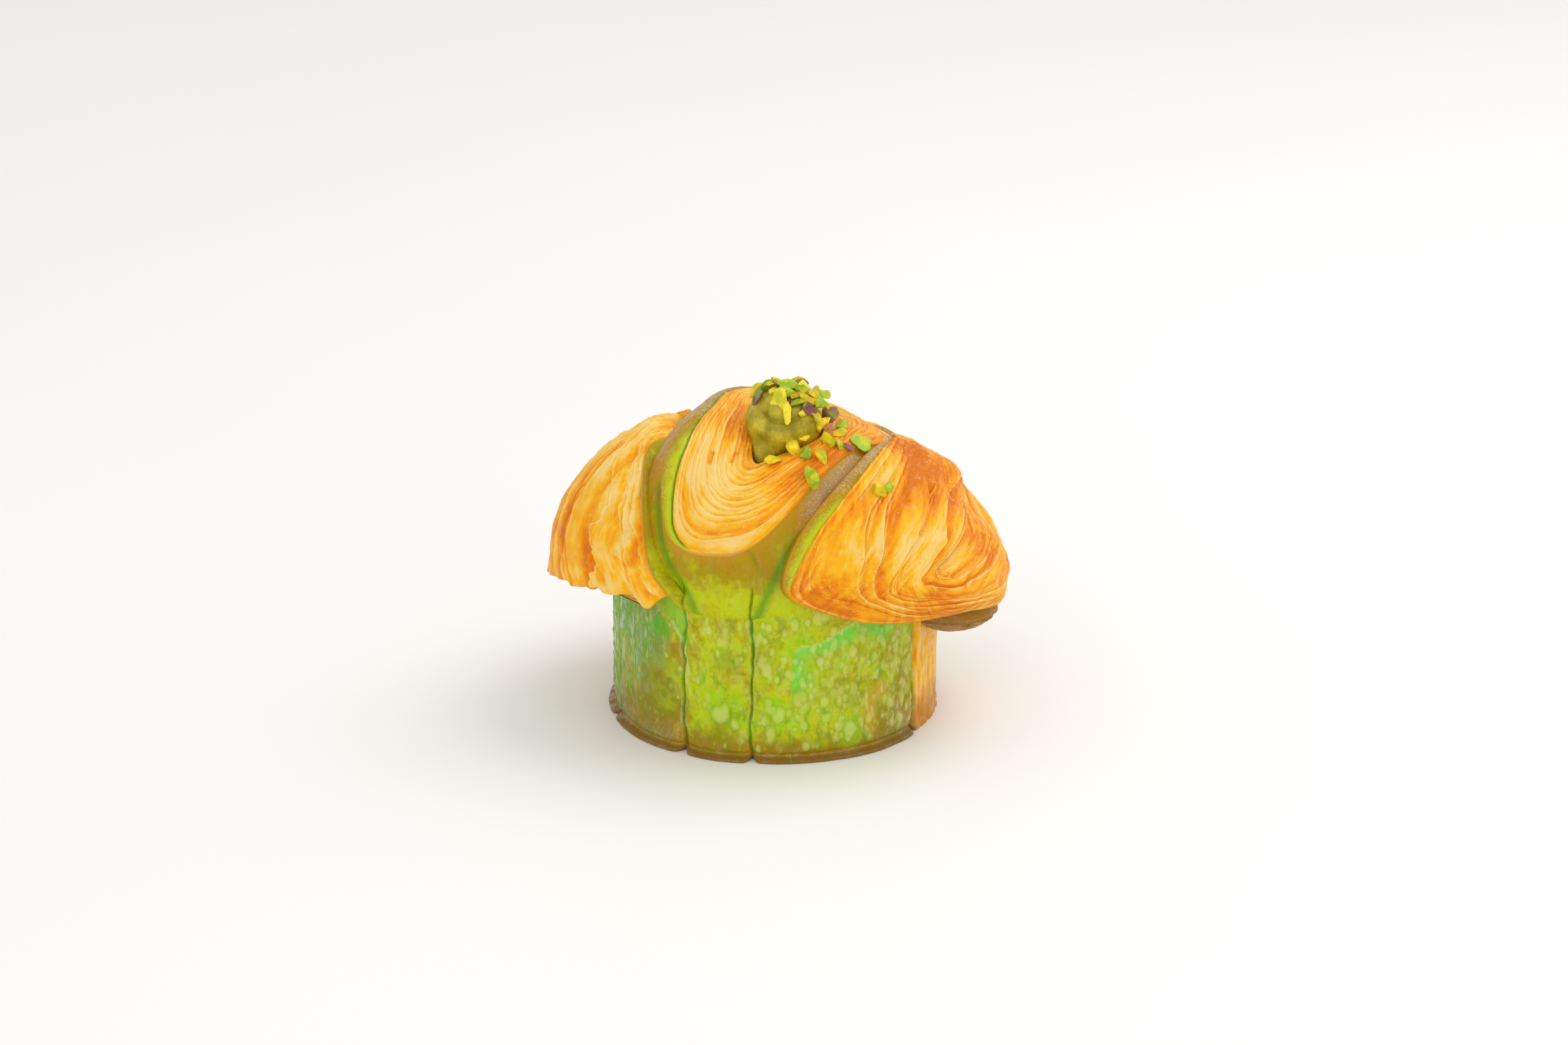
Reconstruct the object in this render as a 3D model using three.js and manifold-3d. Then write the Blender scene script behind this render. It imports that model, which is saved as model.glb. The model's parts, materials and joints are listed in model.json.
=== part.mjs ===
// A ring-baked laminated pastry with a green outer skin, and the ball of cream that sits in its middle.
// Millimetres, +Z up; the origin is the middle of the foot, on the table, and the front faces -Y.
import * as THREE from "three";
import Module from "manifold-3d";

// Moulded wall: the ring it is baked in sets these.
const WALL_RADIUS = 37.6;
const WALL_HEIGHT = 44.5;
const WALL_FLARE = 0.4;
const LIP_RADIUS = 39.4;
const LIP_HEIGHT = 1.8;
const LIP_GROOVE = 2.8;
const LIP_EDGE = 0.7;
const SEAMS = [-123, -98, -30, 19, 63, 107, 152, 195];
const SEAM_DEPTH = 1.1;
const SEAM_HALF_ANGLE = 1.6;
const PANEL_SWELL = 0.5;
const PANEL_PARTS = 4;

// Crown: every strand lies on a dome, squashed more at the front than at the back.
// A height of 1 is on the dome and 0 at its centre.
const DOME_CENTRE = new THREE.Vector3(1, 0, 34);
const DOME_LEFT = 53;
const DOME_RIGHT = 54;
const DOME_FRONT = 43;
const DOME_BACK = 47;
const DOME_HEIGHT = 42.5;
const CORE_SHARE = 0.89;
const CORE_LIFTS = [24, 38, 53, 70, 83];
const STRAND_ROOT = 0.62;
const TURN_END = 0.99;
const SKIN_BULGE = 0.02;
const SKIN_DROP = 0.03;
const FACE_ROUND = 0.7;
const FOLDS = 5;
const FOLD_RISE = 0.02;
const HAIRPIN_SWELL = 0.07;
const HAIRPIN_FOOT = 0.8;

// Piped cream.
const CREAM_CENTRE = new THREE.Vector3(2.6, -8.5, 73.2);
const CREAM_RADIUS = 9.2;
const CREAM_HEIGHT = 8.2;
const CREAM_SWIRL = 0.07;
const CREAM_TURN = 2.6;
const TAIL_CENTRE = new THREE.Vector3(-2.4, -17.4, 68.6);
const TAIL_SIZE = new THREE.Vector3(4.2, 3.8, 3.2);
const CREAM_GAP = 0.3;

// Brown underside of the right strand, turned under.
const FLAP_CENTRE = new THREE.Vector3(43, -12, 27.2);
const FLAP_SIZE = new THREE.Vector3(9.6, 8, 4.6);

// Each strand shows a cut face of folded layers between an inner line and a rim, and a skin outside
// the rim. The lines are smooth curves through a few places on the dome: azimuth and elevation in
// degrees, then height. A hairpin's inner line is a slit, walked down for one arm and back up for
// the other, and crotch is the part of the run that turns round the slit's end.
const STRANDS = {
  middleRing: {
    rounds: 48,
    closed: true,
    skinTurn: 14,
    footHeight: 0.87,
    swell: 0.045,
    taper: 0,
    rim: [
      [140, 75, 1], [-172, 69, 1], [-140, 50, 1], [-122, 27, 1], [-108, 23, 1],
      [-95, 28, 1], [-73, 49, 1], [-52, 57, 0.995], [-18, 58, 0.94], [70, 62, 0.93],
    ],
    inner: [
      [168, 82, 0.95], [-127, 75, 0.95], [-107, 62, 0.94], [-101, 57, 0.93],
      [-92, 60, 0.93], [-64, 67, 0.93], [-31, 76, 0.9], [41, 84, 0.9],
    ],
  },
  right: {
    rounds: 23,
    skinTurn: 2,
    footHeight: HAIRPIN_FOOT,
    swell: HAIRPIN_SWELL,
    taper: 0.5,
    crotch: [0.42, 0.6],
    rim: [
      [0, 56, 0.93], [-38, 57, 0.985], [-63, 49, 1], [-84, 30, 1], [-89, 10, 1], [-80, 7, 1.01],
      [-50, 0, 1.02], [-14, -8, 1], [22, -2, 0.96], [44, 18, 0.92], [44, 44, 0.88],
    ],
    slit: [[15, 46, 0.88], [4, 34, 0.89], [-24, 26, 0.92], [-43, 15, 0.94]],
  },
  left: {
    rounds: 20,
    skinTurn: 4,
    footHeight: 0.9,
    swell: 0.05,
    taper: 0.2,
    sag: 5,
    rim: [
      [-168, 60, 0.93], [-160, 51, 0.97], [-137, 34, 0.97], [-127, 17, 0.96], [-120, 9, 0.915],
    ],
    inner: [
      [145, 56, 0.93], [152, 52, 0.97], [163, 37, 0.99], [169, 20, 1.01], [172, 12, 0.99],
    ],
  },
  backRight: {
    rounds: 16,
    skinTurn: 3,
    footHeight: HAIRPIN_FOOT,
    swell: HAIRPIN_SWELL,
    taper: 0.5,
    crotch: [0.4, 0.6],
    rim: [
      [58, 62, 0.9], [41, 45, 0.97], [36, 21, 0.98], [41, -2, 1.01], [66, -10, 1.02],
      [91, -4, 1], [100, 18, 0.98], [98, 42, 0.95], [92, 60, 0.9],
    ],
    slit: [[68, 62, 0.86], [63, 40, 0.89], [64, 23, 0.93]],
  },
  backLeft: {
    rounds: 16,
    skinTurn: 3,
    footHeight: HAIRPIN_FOOT,
    swell: HAIRPIN_SWELL,
    taper: 0.5,
    crotch: [0.4, 0.62],
    rim: [
      [112, 67, 0.96], [96, 46, 1], [92, 22, 1.01], [97, 0, 1.01], [120, -10, 1.03],
      [149, -8, 1], [167, 6, 0.98], [165, 30, 0.96], [156, 55, 0.97],
    ],
    slit: [[136, 64, 0.93], [137, 38, 0.9], [141, 20, 0.93]],
  },
};

const wasm = await Module();
wasm.setup();

// The unit direction of an azimuth and an elevation.
function towards(azimuth, elevation) {
  const polar = THREE.MathUtils.degToRad(90 - elevation);
  const turn = THREE.MathUtils.degToRad(azimuth);
  const level = Math.sin(polar);
  return new THREE.Vector3(level * Math.cos(turn), level * Math.sin(turn), Math.cos(polar));
}

function onDome(direction, height) {
  const side = direction.x < 0 ? DOME_LEFT : DOME_RIGHT;
  const depth = direction.y < 0 ? DOME_FRONT : DOME_BACK;
  const half = new THREE.Vector3(side, depth, DOME_HEIGHT);
  return direction.clone().setLength(height).multiply(half).add(DOME_CENTRE);
}

// Smooth line through places on the dome, as vectors from its centre whose length is the height.
function smoothLine(places, closed) {
  const vectors = places.map(([azimuth, elevation, height]) =>
    towards(azimuth, elevation).multiplyScalar(height),
  );
  return new THREE.CatmullRomCurve3(vectors, closed, "catmullrom");
}

// The point a share t of the way from one place on the dome to another, lifted by rise.
function between(from, to, t, rise) {
  const height = THREE.MathUtils.lerp(from.length(), to.length(), t) + rise;
  const start = from.clone().normalize();
  return onDome(start.lerp(to.clone().normalize(), t), height);
}

function solidOf(points, triangles) {
  const mesh = new wasm.Mesh({
    numProp: 3,
    vertProperties: new Float32Array(points.flatMap((point) => point.toArray())),
    triVerts: new Uint32Array(facingOut(points, triangles).flat()),
  });
  return new wasm.Manifold(mesh);
}

// The triangles with their faces outwards, judged by the volume they enclose.
function facingOut(points, triangles) {
  let volume = 0;
  for (const [i, j, k] of triangles) {
    volume += points[i].dot(points[j].clone().cross(points[k]));
  }
  return volume > 0 ? triangles : triangles.map(([i, j, k]) => [i, k, j]);
}

// Closed solid from rings of equal count. Its shape at the end: a loop, a point at each end, or a
// point at the start and the last ring folded shut on its own middle line.
function skinned(rings, end) {
  const count = rings[0].length;
  const points = rings.flat();
  const triangles = [];
  const steps = end === "loop" ? rings.length : rings.length - 1;
  for (let i = 0; i < steps; i++) {
    const a = i * count;
    const b = ((i + 1) % rings.length) * count;
    for (let j = 0; j < count; j++) {
      const k = (j + 1) % count;
      triangles.push([a + j, b + j, b + k], [a + j, b + k, a + k]);
    }
  }
  const last = (rings.length - 1) * count;
  if (end !== "loop") {
    const first = points.push(middle(rings[0])) - 1;
    rings[0].forEach((_, j) => triangles.push([first, j, (j + 1) % count]));
  }
  if (end === "points") {
    const tip = points.push(middle(rings[rings.length - 1])) - 1;
    rings[0].forEach((_, j) => triangles.push([tip, last + ((j + 1) % count), last + j]));
  }
  if (end === "folded") {
    for (let j = 0; j < count / 2; j++) {
      const k = j + 1;
      if (j > 0) triangles.push([last + k, last + j, last + count - j]);
      if (k < count / 2) triangles.push([last + k, last + ((count - j) % count), last + count - k]);
    }
  }
  return solidOf(points, triangles);
}

function middle(points) {
  const sum = points.reduce((total, point) => total.add(point), new THREE.Vector3());
  return sum.divideScalar(points.length);
}

// Where the skin ends: turned away from the rim on the side that the cut face isn't.
function footPlace(spec, inner, rim) {
  const up = rim.clone().normalize();
  const away = up.clone().sub(inner.clone().normalize());
  away.addScaledVector(up, -away.dot(up)).normalize();
  const spread = Math.tan(THREE.MathUtils.degToRad(spec.skinTurn));
  const height = Math.min(spec.footHeight, rim.length() - SKIN_DROP);
  return up.addScaledVector(away, spread).setLength(height);
}

// Folded cut face from the inner line to the rim, then the skin down to its foot.
function faceAndSkin(spec, inner, rim, share) {
  const foot = footPlace(spec, inner, rim);
  const swell = spec.swell * Math.sin(Math.PI * share) ** spec.taper;
  const sag = (spec.sag ?? 0) * share ** 4;
  const points = [];
  const steps = 2 * FOLDS;
  for (let i = 0; i <= steps; i++) {
    const t = i / steps;
    const fold = i % 2 ? FOLD_RISE : 0;
    const point = between(inner, rim, t, swell * (4 * t * (1 - t)) ** FACE_ROUND + fold);
    point.z -= sag * Math.sin(Math.PI * t);
    points.push(point);
  }
  points.push(between(rim, foot, 0.5, SKIN_BULGE));
  points.push(between(rim, foot, 1, 0));
  const root = inner.clone().normalize().add(foot.clone().normalize());
  points.push(onDome(root, STRAND_ROOT));
  return points;
}

// Strand with one face: a ring, or a band with two ends.
function band(spec) {
  const closed = Boolean(spec.closed);
  const rimLine = smoothLine(spec.rim, closed);
  const innerLine = smoothLine(spec.inner, closed);
  const rounds = [];
  for (let i = 0; i < spec.rounds; i++) {
    const share = i / (closed ? spec.rounds : spec.rounds - 1);
    const [inner, rim] = [innerLine.getPoint(share), rimLine.getPoint(share)];
    rounds.push(faceAndSkin(spec, inner, rim, share));
  }
  return skinned(rounds, closed ? "loop" : "points");
}

// Strand doubled back on itself: each round crosses one arm, the slit and the other arm.
function hairpin(spec) {
  const rimLine = smoothLine(spec.rim, false);
  const slitLine = smoothLine(spec.slit, false);
  const [down, up] = spec.crotch;
  const rounds = [];
  for (let i = 0; i < spec.rounds; i++) {
    const going = (TURN_END * i) / (spec.rounds - 1) / 2;
    const travelled = Math.min(going / down, 1);
    const turned = Math.max(going - down, 0) / (0.5 - down);
    const coming = 1 - travelled * (1 - up) - turned * (up - 0.5);
    const inner = slitLine.getPoint(travelled);
    const [one, other] = [going, coming].map((share) =>
      faceAndSkin(spec, inner, rimLine.getPoint(share), share),
    );
    const root = onDome(inner.clone().normalize(), STRAND_ROOT);
    rounds.push([root, ...one.slice(1, -1).reverse(), ...other.slice(0, -1)]);
  }
  return skinned(rounds, "folded");
}

function strand(spec) {
  return spec.slit ? hairpin(spec) : band(spec);
}

// Directions and swellings of the wall's columns: a groove at each seam, a swollen panel between two.
function wallColumns() {
  return SEAMS.flatMap((seam, i) => {
    const next = i + 1 < SEAMS.length ? SEAMS[i + 1] : SEAMS[0] + 360;
    const from = seam + SEAM_HALF_ANGLE;
    const span = next - SEAM_HALF_ANGLE - from;
    const columns = [[seam, -SEAM_DEPTH]];
    for (let j = 0; j <= PANEL_PARTS; j++) {
      const t = j / PANEL_PARTS;
      columns.push([from + span * t, PANEL_SWELL * 4 * t * (1 - t)]);
    }
    return columns;
  });
}

// Moulded wall with its lip and seams, and the core that the strands lie on.
function wall() {
  const columns = wallColumns();
  const profile = [
    [LIP_RADIUS - LIP_EDGE, 0],
    [LIP_RADIUS, LIP_EDGE],
    [LIP_RADIUS, LIP_HEIGHT],
    [WALL_RADIUS + WALL_FLARE, LIP_GROOVE],
    [WALL_RADIUS, WALL_HEIGHT / 2],
    [WALL_RADIUS, WALL_HEIGHT * 0.9],
    [WALL_RADIUS + WALL_FLARE, WALL_HEIGHT],
  ];
  const rings = profile.map(([radius, height]) =>
    columns.map(([degrees, swell]) =>
      towards(degrees, 0).multiplyScalar(radius + swell).setZ(height),
    ),
  );
  for (const lift of CORE_LIFTS) {
    rings.push(columns.map(([degrees]) => onDome(towards(degrees, lift), CORE_SHARE)));
  }
  return skinned(rings, "points");
}

// Rounded lump, with a ridge that winds down it where swirl isn't 0.
function lump(centre, half, across, down, swirl = 0) {
  const rings = [];
  for (let i = 0; i < down; i++) {
    const polar = (Math.PI * (i + 0.5)) / down;
    const ring = [];
    for (let j = 0; j < across; j++) {
      const turn = (2 * Math.PI * j) / across;
      const ridge = swirl * Math.cos(turn - CREAM_TURN * polar) * Math.sin(polar);
      const direction = new THREE.Vector3().setFromSphericalCoords(1, polar, turn);
      const upright = new THREE.Vector3(direction.x, -direction.z, direction.y);
      ring.push(upright.multiplyScalar(1 + ridge).multiply(half).add(centre));
    }
    rings.push(ring);
  }
  return skinned(rings, "points");
}

function cream(grown) {
  const half = new THREE.Vector3(CREAM_RADIUS, CREAM_RADIUS, CREAM_HEIGHT).addScalar(grown);
  const tail = TAIL_SIZE.clone().addScalar(grown);
  return lump(CREAM_CENTRE, half, 28, 16, CREAM_SWIRL).add(lump(TAIL_CENTRE, tail, 14, 8));
}

// The body of a cut solid, without the shut hollows and crumbs that the cuts leave.
function mainBody(solid) {
  return solid.decompose().reduce((a, b) => (a.volume() > b.volume() ? a : b));
}

function pastry() {
  const pieces = [...Object.values(STRANDS).map(strand), lump(FLAP_CENTRE, FLAP_SIZE, 18, 10)];
  const dough = pieces.reduce((whole, piece) => whole.add(piece), wall());
  return mainBody(dough.subtract(cream(CREAM_GAP)));
}

function toMesh(name, solid, look) {
  const made = solid.getMesh();
  const geometry = new THREE.BufferGeometry();
  geometry.setAttribute("position", new THREE.BufferAttribute(made.vertProperties, 3));
  geometry.setIndex(new THREE.BufferAttribute(made.triVerts, 1));
  geometry.computeVertexNormals();
  const mesh = new THREE.Mesh(geometry, new THREE.MeshStandardMaterial(look));
  mesh.name = name;
  return mesh;
}

const part = new THREE.Group();
part.add(toMesh("pastry", pastry(), { color: 0xd99a3c, roughness: 0.6, metalness: 0 }));
part.add(toMesh("cream", cream(0), { color: 0x8f8a1e, roughness: 0.3, metalness: 0 }));
export default part;
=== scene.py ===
"""Visual model of a ring-baked laminated pastry: a green moulded wall, folded flaky lobes over the
top, a ball of pistachio cream in the middle and chopped nuts on it."""

import itertools
import json
import math

import bpy
import numpy as np
from bpy.props import FloatProperty, FloatVectorProperty, IntProperty, PointerProperty
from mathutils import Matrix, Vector
from mathutils.bvhtree import BVHTree

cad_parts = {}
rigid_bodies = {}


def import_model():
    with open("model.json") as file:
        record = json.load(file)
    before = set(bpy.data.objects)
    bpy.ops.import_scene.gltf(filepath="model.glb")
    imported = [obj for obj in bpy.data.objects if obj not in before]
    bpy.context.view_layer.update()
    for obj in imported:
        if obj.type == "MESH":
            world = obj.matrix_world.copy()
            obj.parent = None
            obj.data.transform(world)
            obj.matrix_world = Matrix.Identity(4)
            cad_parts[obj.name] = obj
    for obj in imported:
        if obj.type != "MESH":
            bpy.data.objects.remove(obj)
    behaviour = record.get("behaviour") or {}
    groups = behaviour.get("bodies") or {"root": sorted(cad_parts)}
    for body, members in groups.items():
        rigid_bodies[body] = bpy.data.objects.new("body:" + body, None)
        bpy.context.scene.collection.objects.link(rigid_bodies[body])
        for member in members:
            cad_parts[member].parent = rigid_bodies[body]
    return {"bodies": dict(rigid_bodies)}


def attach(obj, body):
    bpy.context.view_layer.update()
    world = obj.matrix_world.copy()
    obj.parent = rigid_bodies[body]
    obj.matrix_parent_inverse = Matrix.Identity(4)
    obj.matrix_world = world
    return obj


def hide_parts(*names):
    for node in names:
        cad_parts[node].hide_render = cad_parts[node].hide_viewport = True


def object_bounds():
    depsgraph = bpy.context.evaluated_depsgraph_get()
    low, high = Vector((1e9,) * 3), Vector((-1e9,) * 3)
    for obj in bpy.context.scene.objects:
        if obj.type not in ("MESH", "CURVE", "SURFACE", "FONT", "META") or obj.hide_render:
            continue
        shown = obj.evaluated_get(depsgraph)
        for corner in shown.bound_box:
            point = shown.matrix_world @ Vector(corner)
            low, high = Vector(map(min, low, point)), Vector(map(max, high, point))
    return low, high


bl_info = {
    "name": "Ring-baked laminated pastry",
    "version": (1, 0, 0),
    "blender": (4, 5, 0),
    "location": "View3D > Sidebar > Pastry",
    "description": "Builds the flaky lobes, moulded wall, cream and chopped nuts of a filled pastry",
    "category": "Add Mesh",
}

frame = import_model()
CAD_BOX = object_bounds()
# The pastry's only body.
(BODY,) = frame["bodies"]
MM = 0.001
# Cells after which the lattice of the smooth noise repeats.
LATTICE = 32

# ---------------------------------------------------------------- the shape of each strand

# Places on the crown's dome: azimuth and elevation in degrees, then height, 1 on the dome itself.
# The cut face lies between the inner line and the rim. A hairpin's inner line is a slit, walked
# down for one arm and back up for the other; the crotch gives the shares of the run where the slit
# ends for each arm. Skin turn is how many degrees the skin goes on under the rim, and foot height
# where it ends. The face bulges by the swell, and the taper flattens it towards both ends of the
# run. Dents are azimuth, elevation, reach in degrees and depth. A hem is how many millimetres the
# rags of a torn end hang down.
HAIRPIN = {"closed": False, "foot_height": 0.8, "swell": 0.07, "taper": 0.5}
STRANDS = {
    "middle_ring": {
        "closed": True,
        "skin_turn": 14,
        "foot_height": 0.87,
        "swell": 0.045,
        "taper": 0,
        "rim": [
            (140, 75, 1), (-172, 69, 1), (-140, 50, 1), (-122, 27, 1), (-108, 23, 1),
            (-95, 28, 1), (-73, 49, 1), (-52, 57, 0.995), (-18, 58, 0.94), (70, 62, 0.93),
        ],
        "inner": [
            (168, 85, 0.95), (-118, 78, 0.95), (-106, 64, 0.94), (-101, 57, 0.93),
            (-92, 60, 0.93), (-64, 67, 0.93), (-31, 76, 0.9), (41, 84, 0.9),
        ],
    },
    "right_hairpin": {
        **HAIRPIN,
        "skin_turn": 2,
        "crotch": (0.42, 0.6),
        "dents": [(3, 21, 9, 0.07), (-2, 38, 8, -0.04)],
        "rim": [
            (0, 56, 0.93), (-38, 57, 0.985), (-63, 49, 1), (-84, 30, 1), (-88.5, 13.5, 1),
            (-79, 6, 1.01), (-64, 1, 1.02), (-40, -1, 1.02), (-14, -5, 1), (22, 0, 0.96),
            (44, 18, 0.92), (49, 38, 0.9), (47, 55, 0.88),
        ],
        "slit": [(34, 48, 0.86), (9, 29, 0.87), (-18, 21, 0.9), (-43, 14, 0.94)],
    },
    "left_drape": {
        "closed": False,
        "skin_turn": 4,
        "foot_height": 0.9,
        "swell": 0.05,
        "taper": 0.2,
        "hem": 1.7,
        "rim": [
            (-168, 60, 0.93), (-160, 51, 0.97), (-137, 34, 0.97), (-127, 17, 0.965), (-121, 8, 0.93),
        ],
        "inner": [
            (145, 56, 0.93), (152, 52, 0.97), (162, 38, 0.99), (169, 20, 1.01), (176, -1, 1.02),
        ],
    },
    "back_right_hairpin": {
        **HAIRPIN,
        "skin_turn": 3,
        "crotch": (0.4, 0.6),
        "rim": [
            (58, 62, 0.83), (41, 45, 0.905), (36, 21, 0.96), (41, -2, 1.01), (66, -10, 1.02),
            (91, -4, 1), (100, 18, 0.98), (98, 42, 0.95), (92, 60, 0.9),
        ],
        "slit": [(68, 62, 0.83), (63, 40, 0.87), (64, 23, 0.93)],
    },
    "back_left_hairpin": {
        **HAIRPIN,
        "skin_turn": 3,
        "crotch": (0.4, 0.62),
        "rim": [
            (112, 67, 0.96), (96, 46, 1), (92, 22, 1.01), (97, 0, 1.01), (120, -10, 1.03),
            (149, -8, 1), (167, 6, 0.98), (165, 30, 0.96), (156, 55, 0.97),
        ],
        "slit": [(136, 64, 0.93), (137, 38, 0.9), (141, 20, 0.93)],
    },
}

# How each strand's cut face is layered. Stations are the steps along the run; rows and skin rows are
# those across the face and the skin. Widths are those of the leaves from the inner line to the rim,
# at the start and at the end of the run; they vary, and the edges drift, along the run. A leaf's
# raised edge is its crest, which hangs over a gap, and a terrace is how steeply a leaf slopes, all in
# millimetres. Lumps are broad unevenness in millimetres, and wild is the strength of fine sheets and
# streaks. Bake is the baking of the face, 0 for pale to 1 for brown, which spots raise (+) or lower
# (-): azimuth, elevation, reach in degrees and amount. Creases are a path, reach in degrees, depth
# in millimetres and darkening, partly baking and partly painted shade; skin creases are alike, and
# their darkening is painted shade in dark green. The strip is the coloured band along the rim, as run
# and share of the face, with a groove before it that is darkened in dark green as painted shade. The
# strip's browning and the skin's go from 0 for green to 1 for glazed brown, each as a base and spots.
HAIRPIN_LEAVES = {
    "rows": 170, "skin_rows": 16, "stations": 400, "crest": 0.4, "terrace": 0.26, "gap": 0.12,
    "hang": 0.1, "drift": 1.0, "vary": 0.8, "lumps": 0.8, "wild": 0.7, "bake": 0.44, "groove": 0.4,
    "browning": (0.75, []),
}
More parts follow.
